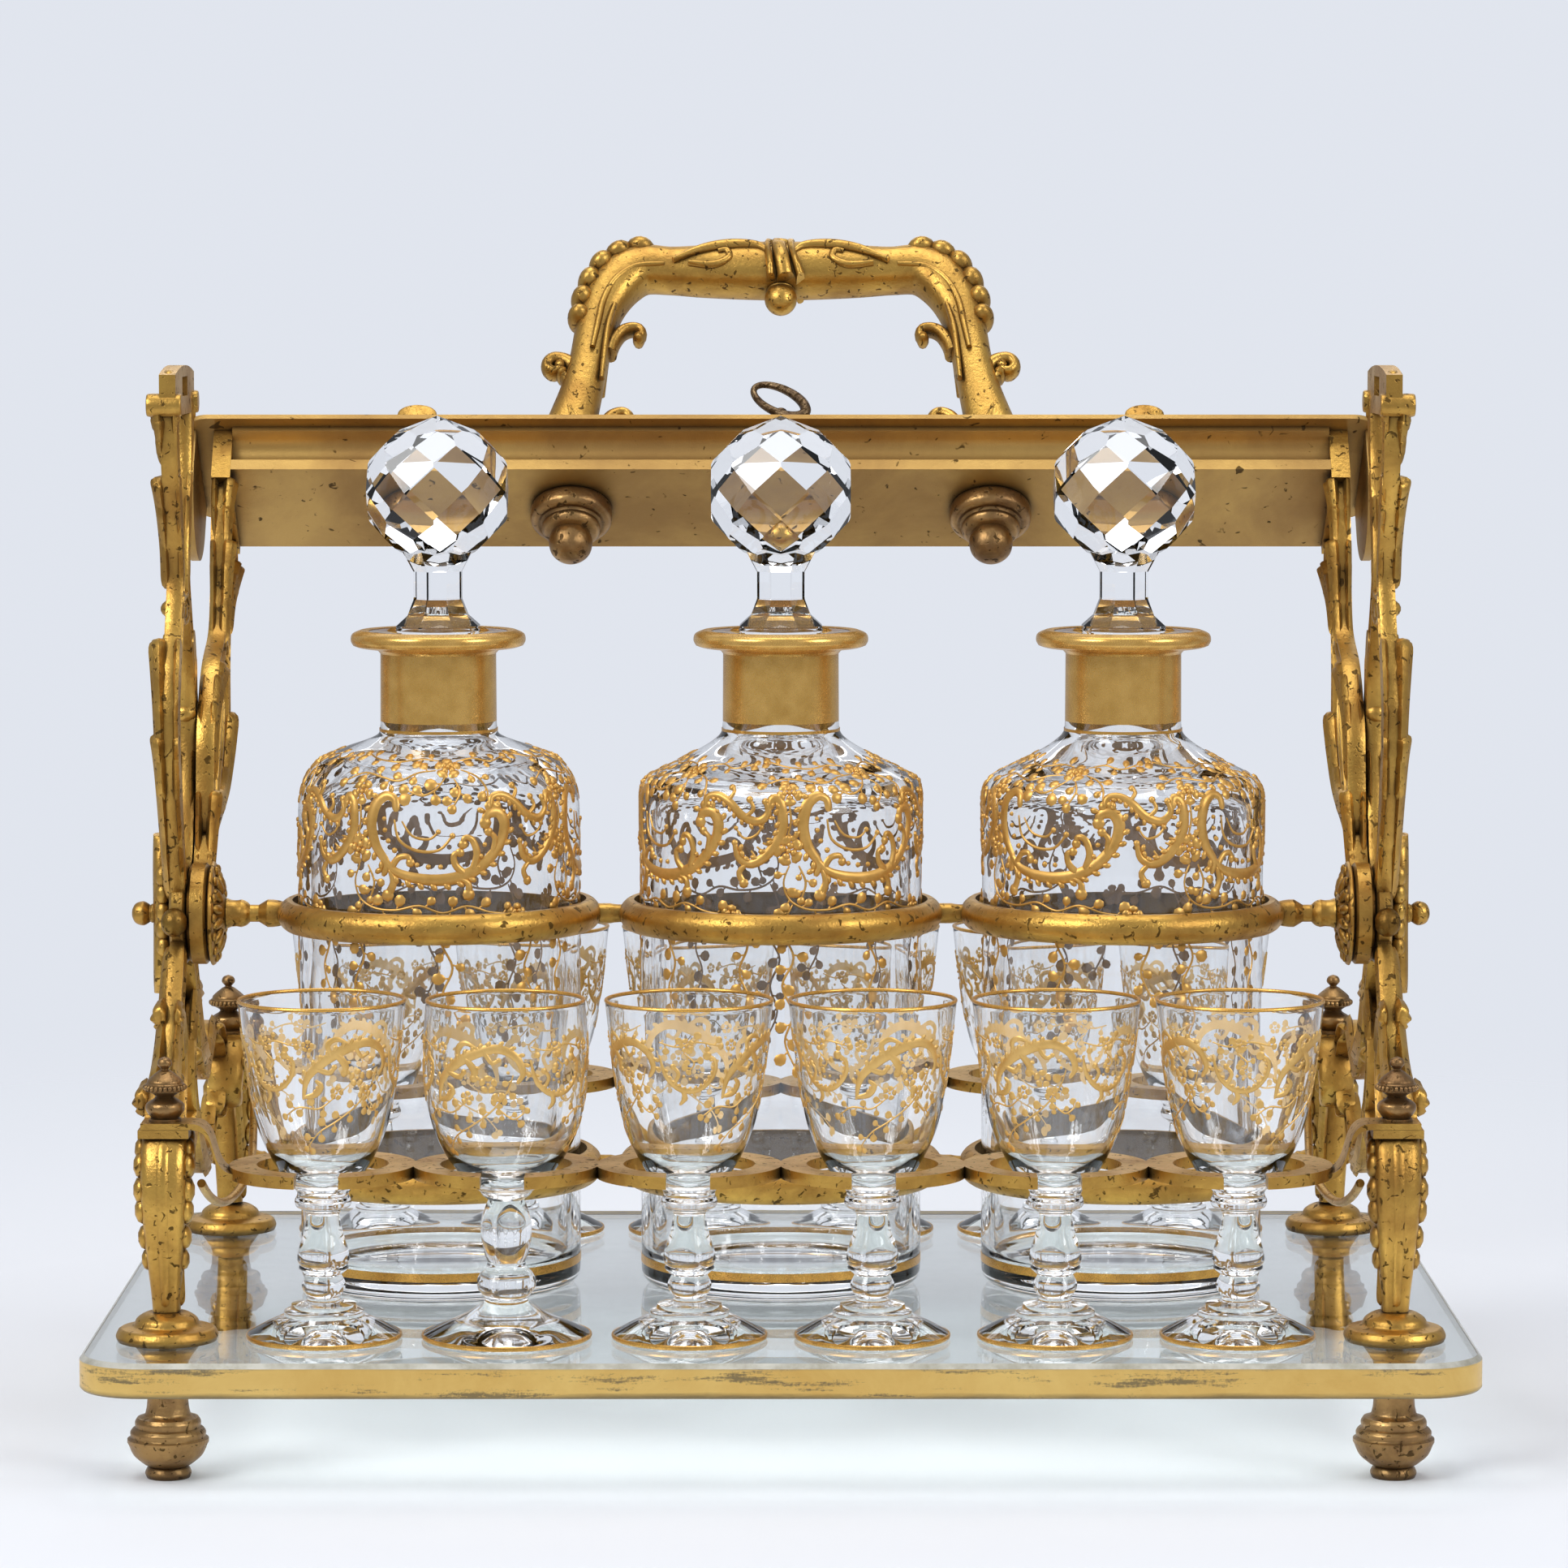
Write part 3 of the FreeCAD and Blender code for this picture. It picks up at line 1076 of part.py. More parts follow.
def make_glass_holder(label, side):
    pitch = FORK_PITCH
    outer, inner = pitch * FORK_OUTER_SHARE, pitch * FORK_INNER_SHARE
    thick, gap = size("fork_thickness"), pitch * FORK_GAP_SHARE
    row_y = size("glass_row_place").value * side
    rings, holes = [], []
    for number in range(6):
        across = (number - 2.5) * pitch.value
        rings.append(disc_face(across, row_y, outer))
        holes.append(disc_face(across, row_y, inner))
        gap_half = gap.value / 2
        mouth = [(across - gap_half, row_y), (across + gap_half, row_y),
                 (across + gap_half, row_y + side * (outer.value + OVERRUN.value)),
                 (across - gap_half, row_y + side * (outer.value + OVERRUN.value))]
        holes.append(flat_face(mouth))
    lying = FreeCAD.Placement()
    up = FreeCAD.Vector(0, 0, thick.value)
    strip = cast(rings, lying, up).cut(cast(holes, lying, up)).removeSplitter()
    # Ends rise in an S to the seats on the legs
    width, end_thick = size("strip_end_width").value, size("strip_end_thickness").value
    seat_rise = (size("flange_height") + size("leg_height") - size("fork_place_z")).value
    root_x = 2.5 * pitch.value + outer.value - thick.value * 0.8
    seat_x = (LEG_X - size("leg_width") / 2).value
    last_x = LEG_X.value + width / 2
    bend = (seat_x - root_x) * 0.5
    lower = [(root_x, 0), (root_x + bend, seat_rise * 0.5), (seat_x, seat_rise), (last_x, seat_rise)]
    curve_low, curve_high = Part.BSplineCurve(), Part.BSplineCurve()
    flat_way = FreeCAD.Vector(1, 0, 0)
    curve_low.interpolate([vector(*p) for p in lower[:3]], InitialTangent=flat_way, FinalTangent=flat_way)
    curve_high.interpolate([vector(p[0], p[1] + end_thick) for p in lower[2::-1]],
                           InitialTangent=flat_way * -1, FinalTangent=flat_way * -1)
    wire = Part.Wire([
        curve_low.toShape(),
        Part.LineSegment(vector(seat_x, seat_rise), vector(last_x, seat_rise)).toShape(),
        Part.LineSegment(vector(last_x, seat_rise), vector(last_x, seat_rise + end_thick)).toShape(),
        Part.LineSegment(vector(last_x, seat_rise + end_thick),
                         vector(seat_x, seat_rise + end_thick)).toShape(),
        curve_high.toShape(),
        Part.LineSegment(vector(root_x, end_thick), vector(root_x, 0)).toShape()])
    tongue = cast_forwards([Part.Face(wire)], width)
    tongue.translate(FreeCAD.Vector(0, LEG_Y.value * side, 0))
    shape = strip.multiFuse([tongue, mirrored_left(tongue)]).removeSplitter()
    at_z = TRAY_TOP + size("fork_place_z")
    finished(feature(label, shape), label, (0, 0, at_z))


def decanter_outline(shoulder_bulge):
    outer, neck, lip = DECANTER_RADIUS, size("decanter_neck_radius"), size("decanter_lip_radius")
    wall, base = size("decanter_wall"), size("decanter_base")
    top, mouth, bore = size("decanter_height"), size("decanter_mouth_radius"), size("decanter_bore_radius")
    neck_low = top - size("decanter_neck_length")
    shoulder = neck_low - size("decanter_shoulder_rise")
    lip_low = top - (lip - neck) * 0.7
    return [
        (0, 0), (outer - wall * 0.6, 0), (outer, wall * 0.6, 0.4142), (outer, shoulder),
        (neck + wall * 0.5, neck_low - wall, shoulder_bulge), (neck, neck_low), (neck, lip_low),
        (lip, top - wall * 0.8, -0.3), (lip, top - wall * 0.3), (lip - wall * 0.5, top), (mouth, top),
        (bore, top - size("stopper_plug_length")), (bore, neck_low - wall),
        (outer - wall, shoulder - wall * 0.8, -shoulder_bulge * 0.7), (outer - wall, base + wall),
        (outer - wall * 2, base, -0.4), (0, base),
    ]


# Ball of a stopper: a blank with flat facets ground off in rows, each row turned by half a step
def faceted_ball(radius):
    count = int(size("facets_round").value)
    step = math.pi / count
    blank = radius * 1.5
    ball = Part.makeBox(blank * 2, blank * 2, blank * 2, FreeCAD.Vector(-blank, -blank, -blank))
    for row in range(1, count):
        polar = step * row
        for number in range(count):
            turn = 2 * step * (number + (row % 2) / 2)
            away = FreeCAD.Vector(math.sin(polar) * math.cos(turn), math.sin(polar) * math.sin(turn), math.cos(polar))
            wheel = Part.makePlane(blank * 6, blank * 6, FreeCAD.Vector(-blank * 3, -blank * 3, 0))
            wheel = wheel.extrude(FreeCAD.Vector(0, 0, blank * 2))
            turned_out = FreeCAD.Rotation(FreeCAD.Vector(0, 0, 1), away)
            wheel.Placement = FreeCAD.Placement(away * radius, turned_out)
            ball = ball.cut(wheel)
    return ball


# Stem of a stopper: flat panels between the same number of edges, waisted between mouth and ball
def panelled_stem(levels):
    count = int(size("facets_round").value)
    wires = []
    for radius, height in levels:
        corner = radius / math.cos(math.pi / count)
        ring = [FreeCAD.Vector(corner * math.cos(math.pi * (2 * k + 1) / count),
                               corner * math.sin(math.pi * (2 * k + 1) / count), height) for k in range(count)]
        wires.append(Part.makePolygon(ring + ring[:1]))
    return Part.makeLoft(wires, True, True)


def make_decanters():
    top = size("decanter_height")
    ball, rise = size("stopper_ball_radius"), size("stopper_ball_rise")
    stem, clear = size("stopper_stem_radius"), size("stopper_clearance")
    bore, mouth = size("decanter_bore_radius"), size("decanter_mouth_radius")
    plug = size("stopper_plug_length")
    low_share = 0.9
    taper = (mouth - bore) / plug
    plug_low = plug * low_share
    # Ground plug, in (radius, above the decanter's top)
    plug_outline = [(0, -plug_low), (mouth - taper * plug_low - clear, -plug_low), (mouth - clear, 0),
                    (mouth - clear, clear), (0, clear)]
    room = (rise - ball).value
    waist, foot = stem.value, (mouth - clear * 2).value
    levels = [(foot, clear.value * 0.5), (foot, room * 0.07), (waist * 1.25, room * 0.22), (waist, room * 0.45),
              (waist, room * 0.85), (ball.value * 0.5, room * 1.15), (ball.value * 0.5, rise.value * 0.7)]
    head = faceted_ball(ball.value)
    head.translate(FreeCAD.Vector(0, 0, rise.value))
    head = head.fuse(panelled_stem(levels)).removeSplitter()
    kinds = (("left", -DECANTER_PITCH, 0.42), ("centre", 0, 0.12), ("right", DECANTER_PITCH, 0.12))
    for name, across, bulge in kinds:
        body = turned(f"{name}_decanter", decanter_outline(bulge))
        finished(body, f"{name}_decanter", (across, 0, TRAY_TOP))
        plug_body = turned(f"{name}_stopper_plug", plug_outline)
        head_item = feature(f"{name}_stopper_head", head)
        stopper = document.addObject("Part::MultiFuse", f"{name}_stopper")
        stopper.Shapes = [plug_body, head_item]
        finished(stopper, f"{name}_stopper", (across, 0, TRAY_TOP + top))


def glass_outline():
    height, rim = size("glass_height"), FORK_PITCH * GLASS_RIM_SHARE
    foot, wall = FORK_PITCH * GLASS_FOOT_SHARE, size("glass_wall")
    neck, collar, bell = size("glass_neck_radius"), size("glass_collar_radius"), size("glass_bell_radius")
    return [
        (0, 0), (foot * 0.97, 0), (foot, height * 0.013), (foot * 0.93, height * 0.027),
        (foot * 0.52, height * 0.07), (foot * 0.5, height * 0.088), (foot * 0.42, height * 0.09),
        (foot * 0.4, height * 0.107), (neck, height * 0.113), (neck, height * 0.135),
        (neck * 1.12, height * 0.188, 0.6), (bell, height * 0.228), (bell * 0.7, height * 0.34, 0.12),
        (neck, height * 0.37), (collar, height * 0.39), (collar * 0.95, height * 0.42, 0.4),
        (rim * 0.76, height * 0.63, 0.22), (rim, height, 0.05), (rim - wall, height),
        (rim * 0.76 - wall, height * 0.63, -0.05), (neck * 0.5, height * 0.47, -0.3), (0, height * 0.47),
    ]


EGG_GLASS = "front_glass_2"


# The second glass in front is of another pattern: a wider foot, a baluster stem and an egg-shaped bowl
def egg_glass_outline():
    height, rim = size("glass_height"), FORK_PITCH * GLASS_RIM_SHARE
    foot, wall = FORK_PITCH * GLASS_FOOT_SHARE * 1.09, size("glass_wall")
    neck, collar = size("glass_neck_radius"), size("glass_collar_radius")
    return [
        (0, 0), (foot * 0.97, 0), (foot, height * 0.013), (foot * 0.96, height * 0.027),
        (neck * 1.5, height * 0.11, -0.1), (neck * 1.35, height * 0.125), (neck * 1.55, height * 0.2, 0.5),
        (neck * 1.18, height * 0.228), (neck * 1.15, height * 0.412, 0.2), (collar * 0.95, height * 0.435),
        (rim * 0.92, height * 0.69, 0.26), (rim * 0.96, height * 0.82, 0.05), (rim * 0.93, height, 0.05),
        (rim * 0.93 - wall, height), (rim * 0.96 - wall, height * 0.82, -0.05),
        (rim * 0.92 - wall, height * 0.69, -0.05), (neck * 0.5, height * 0.478, -0.3), (0, height * 0.478),
    ]


def make_glasses():
    pitch = FORK_PITCH
    for row, side in (("front", -1), ("rear", 1)):
        for number in range(6):
            label = f"{row}_glass_{number + 1}"
            across = pitch * (number - 2.5)
            outline = egg_glass_outline() if label == EGG_GLASS else glass_outline()
            finished(turned(label, outline), label, (across, size("glass_row_place") * side, TRAY_TOP))


def write_parts():
    document.recompute()
    for item in document.Objects:
        if {"Invalid", "Error"} & set(item.State):
            raise RuntimeError(f"{item.Label} failed: {item.State}")
    os.makedirs("parts", exist_ok=True)
    for part in SUB_PARTS:
        shape = part.Shape
        if shape.isNull() or not shape.isValid():
            raise RuntimeError(f"{part.Label} has no valid shape")
        shape.exportStep(f"parts/{part.Label}.step")
        box_ = shape.BoundBox
        print(f"{part.Label}: {len(shape.Solids)} solids, {shape.Volume:.0f} mm3, "
              f"y {box_.YMin:.1f} to {box_.YMax:.1f}, z {box_.ZMin:.1f} to {box_.ZMax:.1f}")


make_tray()
make_feet()
make_flanges()
make_studs()
make_finials()
make_side_frames()
make_gate_arms()
make_bar()
make_handle()
make_handle_fixings()
make_tabs()
make_lock()
make_key()
make_pivots()
make_ring_tier("upper_rings", size("upper_ring_height"), PIVOT_Z - size("upper_ring_height") / 2, True)
lower_place = TRAY_TOP + size("lower_ring_place")
lower_end = make_ring_tier("lower_rings", size("lower_ring_height"), lower_place, False)
make_stays(lower_end)
make_glass_holder("front_glass_holder", -1)
make_glass_holder("rear_glass_holder", 1)
make_decanters()
make_glasses()

# The open gate leans back past the tray, so the row moves forward to keep the box centred
document.recompute()
boxes = [part.Shape.optimalBoundingBox(False, False) for part in SUB_PARTS]
lows = [box_.YMin for box_ in boxes]
highs = [box_.YMax for box_ in boxes]
sheet.set(f"B{centre_row}", repr(-(min(lows) + max(highs)) / 2))
write_parts()
print(f"row at y {sheet.row_place_y:.4f}, pivot at z {PIVOT_Z.value:.3f}")
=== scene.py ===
import bmesh
import bpy
import json
import math
import random
from mathutils import Matrix, Vector


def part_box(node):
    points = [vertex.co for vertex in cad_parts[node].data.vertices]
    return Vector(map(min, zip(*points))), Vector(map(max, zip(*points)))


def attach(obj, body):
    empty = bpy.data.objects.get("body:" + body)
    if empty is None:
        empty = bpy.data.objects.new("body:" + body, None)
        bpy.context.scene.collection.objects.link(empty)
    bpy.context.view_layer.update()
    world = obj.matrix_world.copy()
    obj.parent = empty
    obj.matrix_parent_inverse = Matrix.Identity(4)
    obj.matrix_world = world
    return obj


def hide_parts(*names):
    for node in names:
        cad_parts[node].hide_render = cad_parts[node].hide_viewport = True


# Gilt and crystal tantalus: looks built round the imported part. Lengths are typed in millimetres.

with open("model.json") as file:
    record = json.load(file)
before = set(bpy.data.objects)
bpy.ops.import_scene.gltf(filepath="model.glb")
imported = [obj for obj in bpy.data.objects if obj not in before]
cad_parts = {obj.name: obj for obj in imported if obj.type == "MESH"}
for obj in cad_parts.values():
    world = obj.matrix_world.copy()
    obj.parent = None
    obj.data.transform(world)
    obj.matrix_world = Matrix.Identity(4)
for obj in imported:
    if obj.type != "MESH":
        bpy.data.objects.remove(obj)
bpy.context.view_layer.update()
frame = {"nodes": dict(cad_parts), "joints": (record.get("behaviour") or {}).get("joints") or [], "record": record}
print("stage: frame loaded,", len(frame["nodes"]), "nodes")

mm = 0.001
seat = 0.03  # lifts a glass off what it stands on
alongX, alongY = (1, 0, 0), (0, 1, 0)
joints = {joint["name"]: joint for joint in frame["joints"]}
rowY, pivotZ = (joints["gate_tilt"]["pos_m"][k] / mm for k in (1, 2))
tilt = math.radians(joints["gate_tilt"]["range_deg"][1])
trayTop = 40.0
standSpace = Matrix.Translation((0, rowY, trayTop))  # from the middle of the tray's top
pivotSpace = Matrix.Translation((0, rowY, pivotZ))
gateSpace = pivotSpace @ Matrix.Rotation(-tilt, 4, "X")
mirrorX = Matrix.Scale(-1, 4, (1, 0, 0))
legX, legY = 177, 98
legPlaces = [(x, y) for x in (-legX, legX) for y in (-legY, legY)]


# Pieces are drawn for the right side; the left one is its mirror image
def bothSides(space):
    return ("right", space), ("left", space @ mirrorX)


# One output of a node; maths on it adds nodes
class Wire:
    def __init__(self, tree, socket):
        self.tree, self.socket = tree, socket

    def join(self, operation, first, second):
        node = self.tree.nodes.new("ShaderNodeMath")
        node.operation = operation
        for place, value in enumerate((first, second)):
            if isinstance(value, Wire):
                self.tree.links.new(value.socket, node.inputs[place])
            else:
                node.inputs[place].default_value = value
        return Wire(self.tree, node.outputs[0])

    def __add__(self, other):
        return self.join("ADD", self, other)

    def __sub__(self, other):
        return self.join("SUBTRACT", self, other)

    def __rsub__(self, other):
        return self.join("SUBTRACT", other, self)

    def __mul__(self, other):
        return self.join("MULTIPLY", self, other)

    def larger(self, other):
        return self.join("MAXIMUM", self, other)

    __radd__ = __add__
    __rmul__ = __mul__


# A material with its tree; node() adds any node from its type, settings and inputs
class Finish:
    def __init__(self, name):
        self.material = bpy.data.materials.new(name)
        self.material.use_nodes = True
        self.tree = self.material.node_tree
        self.shader = self.tree.nodes["Principled BSDF"]
        self.place = self.node("ShaderNodeTexCoord", output="Object")

    def node(self, kind, output=0, settings=None, stops=None, **inputs):
        made = self.tree.nodes.new(kind)
        for name, value in (settings or {}).items():
            setattr(made, name, value)
        if stops:
            ramp = made.color_ramp
            while len(ramp.elements) < len(stops):
                ramp.elements.new(0.5)
            for element, (position, colour) in zip(ramp.elements, stops):
                element.position = position
                element.color = (*colour, 1) if isinstance(colour, tuple) else (colour, colour, colour, 1)
        for name, value in inputs.items():
            self.feed(made.inputs[name.replace("_", " ")], value)
        return Wire(self.tree, made.outputs[output])

    def feed(self, socket, value):
        if isinstance(value, Wire):
            self.tree.links.new(value.socket, socket)
        elif isinstance(value, tuple) and len(value) == 3 and socket.type == "RGBA":
            socket.default_value = (*value, 1)
        else:
            socket.default_value = value

    def noise(self, scale, detail, roughness, distortion=0.0):
        return self.node("ShaderNodeTexNoise", output="Fac", Vector=self.place, Scale=scale,
                         Detail=detail, Roughness=roughness, Distortion=distortion)

    def ramp(self, value, *stops):
        return self.node("ShaderNodeValToRGB", output="Color", stops=stops, Fac=value)

    # As a mix of colours the node has its factor at input 0, its colours at 6 and 7 and its result at output 2
    def mix(self, factor, first, second):
        made = self.tree.nodes.new("ShaderNodeMix")
        made.data_type = "RGBA"
        self.feed(made.inputs[0], factor)
        self.feed(made.inputs[6], first)
        self.feed(made.inputs[7], second)
        return Wire(self.tree, made.outputs[2])

    def bump(self, height, strength, distance):
        return self.node("ShaderNodeBump", Height=height, Strength=strength, Distance=distance)

    def set(self, **inputs):
        for name, value in inputs.items():
            self.feed(self.shader.inputs[name.replace("_", " ")], value)


# Gilt or bronze: bright where rubbed, brown where matt, dark in the pits, with painted shade darkening the hollows and
# creases
def metalFinish(name, look):
    made = Finish(name)
    cloud = made.ramp(made.noise(look["cloudScale"], 5, 0.65, 0.4), (0.36, 0.0), (0.66, 1.0))
    grain = made.noise(look["grainScale"], 3, 0.7)
    pits = made.ramp(made.noise(look["pitScale"], 2, 0.5, 0.8), (look["pitFrom"], 0.0), (look["pitFrom"] + 0.05, 1.0))
    # Painted shade: ambient occlusion picks out hollows and creases, darkens the colour there and makes the metal less
    # metallic
    hollow = made.node("ShaderNodeAmbientOcclusion", output="AO", settings={"samples": 4}, Distance=look["hollowShadeReach"])
    creaseShade = made.ramp(hollow, (0.3, 1.0), (0.88, 0.0))
    colour = made.mix(cloud, look["bright"], look["dull"])
    colour = made.mix(creaseShade * look["hollowShadeShare"], colour, look["dark"])
    colour = made.mix(pits * look["pitShare"], colour, look["dark"])
    made.set(Base_Color=colour, Metallic=1.0 - creaseShade * 0.35,
             Roughness=look["roughness"] + cloud * 0.12 + grain * 0.1 + pits * 0.2,
             Normal=made.bump(grain - pits * 0.6, look["bumpStrength"], look["bumpDepth"]))
    return made.material


# The hollow reach and share set the painted shade in the hollows: how far the occlusion looks and how strongly it
# darkens
goldLook = {"bright": (0.70, 0.42, 0.095), "dull": (0.40, 0.215, 0.05), "dark": (0.05, 0.028, 0.010),
            "cloudScale": 46.0, "grainScale": 900.0, "pitScale": 420.0, "pitFrom": 0.62, "pitShare": 0.8,
            "hollowShadeReach": 0.005, "hollowShadeShare": 0.92, "roughness": 0.27, "bumpStrength": 0.4, "bumpDepth": 0.0004}
satinLook = {**goldLook, "bright": (0.58, 0.365, 0.115), "dull": (0.42, 0.25, 0.085), "cloudScale": 18.0,
             "grainScale": 1400.0, "pitScale": 260.0, "pitFrom": 0.68, "hollowShadeReach": 0.003, "roughness": 0.36,
             "bumpStrength": 0.2}
bronzeLook = {**goldLook, "bright": (0.42, 0.25, 0.095), "dull": (0.22, 0.125, 0.055), "roughness": 0.26,
              "cloudScale": 70.0}
keyLook = {**goldLook, "bright": (0.20, 0.135, 0.07), "dull": (0.09, 0.055, 0.035), "cloudScale": 240.0,
           "pitScale": 600.0, "pitFrom": 0.55, "roughness": 0.3}
steelLook = {**goldLook, "bright": (0.52, 0.50, 0.47), "dull": (0.36, 0.34, 0.32), "roughness": 0.35}
gold = metalFinish("oldGilding", goldLook)
satin = metalFinish("satinBrass", satinLook)
bronze = metalFinish("brownBronze", bronzeLook)
keyMetal = metalFinish("darkKeyBronze", keyLook)
steel = metalFinish("filedSteel", steelLook)


# Matt gold laid on the glass in relief
def leafFinish(name, bright, dull, roughness):
    made = Finish(name)
    cloud = made.ramp(made.noise(160.0, 4, 0.6), (0.35, 0.0), (0.68, 1.0))
    grain = made.noise(2600.0, 2, 0.6)
    made.set(Base_Color=made.mix(cloud, bright, dull), Metallic=0.75,
             Roughness=roughness + grain * 0.12, Normal=made.bump(grain, 0.25, 0.0001))
    return made.material


gilding = leafFinish("raisedGilding", (0.80, 0.47, 0.13), (0.62, 0.34, 0.08), 0.34)
gildingBack = leafFinish("gildingGround", (0.30, 0.18, 0.085), (0.20, 0.12, 0.06), 0.6)
paleGilding = leafFinish("paleGilding", (0.84, 0.55, 0.19), (0.72, 0.44, 0.13), 0.4)
paleBack = leafFinish("paleGildingBack", (0.80, 0.58, 0.27), (0.70, 0.48, 0.20), 0.5)
neckGold = leafFinish("burnishedBandGold", (0.82, 0.50, 0.14), (0.66, 0.38, 0.09), 0.2)
rimGold = leafFinish("rimGold", (0.78, 0.44, 0.10), (0.60, 0.32, 0.07), 0.22)


# Clear glass; light passes to the shadow side so that the crystal stays bright
def glassFinish(name, tint, ior):
    made = Finish(name)
    ripple = made.noise(38.0, 2, 0.5)
    made.set(Base_Color=tint, Roughness=0.0, IOR=ior, Transmission_Weight=1.0,
             Normal=made.bump(ripple, 0.04, 0.0006))
    clear = made.node("ShaderNodeBsdfTransparent", Color=tint)
    ray = made.node("ShaderNodeLightPath", output="Is Shadow Ray")
    both = made.tree.nodes.new("ShaderNodeMixShader")
    made.feed(both.inputs[0], ray)
    made.tree.links.new(made.shader.outputs[0], both.inputs[1])
    made.tree.links.new(clear.socket, both.inputs[2])
    made.tree.links.new(both.outputs[0], made.tree.nodes["Material Output"].inputs["Surface"])
    return made.material


crystal = glassFinish("clearCrystal", (0.985, 0.99, 0.992), 1.5)
cutCrystal = glassFinish("cutCrystal", (0.985, 0.99, 0.995), 1.54)
plateGlass = glassFinish("plateGlass", (0.90, 0.935, 0.925), 1.5)
print("stage: materials")


# Smooth line through rows of numbers (Catmull-Rom), each row a point with whatever goes with it
def spline(rows, steps):
    last = len(rows) - 1
    made = []
    for i in range(last):
        picks = [rows[min(max(i + k, 0), last)] for k in (-1, 0, 1, 2)]
        for step in range(steps):
            t = step / steps
            made.append(tuple(
                0.5 * (2 * b + (c - a) * t + (2 * a - 5 * b + 4 * c - d) * t * t + (3 * b - a - 3 * c + d) * t ** 3)
                for a, b, c, d in zip(*picks)))
    made.append(tuple(rows[-1]))
    return made


# A profile of (radius, height) points; a list inside it is drawn as one smooth run
def profile(parts, steps=7):
    made = []
    for part in parts:
        run = spline(part, steps) if isinstance(part, list) else [part]
        made += [p for p in run if not made or (abs(p[0] - made[-1][0]) + abs(p[1] - made[-1][1])) > 1e-4]
    return made


def lathe(bm, points, at=(0, 0, 0), steps=96, axis="Z"):
    turn = {"Z": Matrix.Identity(4), "X": Matrix.Rotation(math.pi / 2, 4, "Y")}[axis]
    rings = []
    for r, z in points:
        if r < 1e-4:
            rings.append([bm.verts.new(Vector(at) + turn @ Vector((0, 0, z)))])
        else:
            angles = [2 * math.pi * k / steps for k in range(steps)]
            rings.append([bm.verts.new(Vector(at) + turn @ Vector((r * math.cos(angle), r * math.sin(angle), z)))
                          for angle in angles])
    for low, high in zip(rings, rings[1:]):
        for k in range(steps):
            after = (k + 1) % steps
            corners = [low[k % len(low)], low[after % len(low)], high[after % len(high)], high[k % len(high)]]
            corners = [c for n, c in enumerate(corners) if c not in corners[:n]]
            if len(corners) > 2:
                bm.faces.new(corners)


# A strand with closed ends, or a closed ring: rows of (point, half width, half height); "up" is what its height faces
def strand(bm, rows, section, up, closed=False):
    count = len(rows)
    places = [Vector(row[:3]) for row in rows]
    rings = []
    for i, row in enumerate(rows):
        before = places[(i - 1) % count] if closed else places[max(i - 1, 0)]
        after = places[(i + 1) % count] if closed else places[min(i + 1, count - 1)]
        ahead = (after - before).normalized()
        across = Vector(up).cross(ahead).normalized()
        high = ahead.cross(across)
        rings.append([bm.verts.new(places[i] + across * (u * row[3]) + high * (v * row[4])) for u, v in section])
    size = len(section)
    for i in range(count if closed else count - 1):
        low, high = rings[i], rings[(i + 1) % count]
        for k in range(size):
            bm.faces.new((low[k], low[(k + 1) % size], high[(k + 1) % size], high[k]))
    if not closed:
        bm.faces.new(rings[0][::-1])
        bm.faces.new(rings[-1])


def ringSection(count, power=1.0):
    made = []
    for k in range(count):
        c, s = math.cos(2 * math.pi * k / count), math.sin(2 * math.pi * k / count)
        made.append((math.copysign(abs(c) ** power, c), math.copysign(abs(s) ** power, s)))
    return made


roundSection = ringSection(14)
plumpSection = ringSection(16, 0.6)
# Cast moulding: a raised bead at each edge and a hollow between, on both faces
castSection = [(1, 0), (1, 0.6), (0.88, 0.95), (0.68, 0.95), (0.5, 0.55), (0, 0.42), (-0.5, 0.55), (-0.68, 0.95),
               (-0.88, 0.95), (-1, 0.6), (-1, 0), (-1, -0.6), (-0.88, -0.95), (-0.68, -0.95), (-0.5, -0.55),
               (0, -0.42), (0.5, -0.55), (0.68, -0.95), (0.88, -0.95), (1, -0.6)]
# Leaf: a mid rib and two side ribs above a flat back
leafSection = [(1, 0), (0.8, 0.55), (0.6, 0.75), (0.42, 0.5), (0.2, 0.8), (0, 1.05), (-0.2, 0.8), (-0.42, 0.5),
               (-0.6, 0.75), (-0.8, 0.55), (-1, 0), (-0.6, -0.5), (0, -0.6), (0.6, -0.5)]


# A flat path that turns as it goes: moves of (length, degrees turned on the way)
def turtle(x, y, heading, moves, step):
    heading = math.radians(heading)
    made = [(x, y)]
    for length, turn in moves:
        count = max(2, round(length / step))
        for _ in range(count):
            heading += math.radians(turn) / count
            x += math.cos(heading) * length / count
            y += math.sin(heading) * length / count
            made.append((x, y))
    return made


# Width along a strand: shares at evenly spaced places, drawn smooth
def widths(shares, count, size):
    smooth = spline([(s,) for s in shares], 12)
    return [max(smooth[round(k * (len(smooth) - 1) / (count - 1))][0], 0.02) * size for k in range(count)]


def blob(bm, at, radii, turn=Matrix.Identity(4), segments=14):
    place = Matrix.Translation(at) @ turn @ Matrix.Diagonal((*radii, 1))
    bmesh.ops.create_uvsphere(bm, u_segments=segments, v_segments=segments * 2 // 3, radius=1, matrix=place)


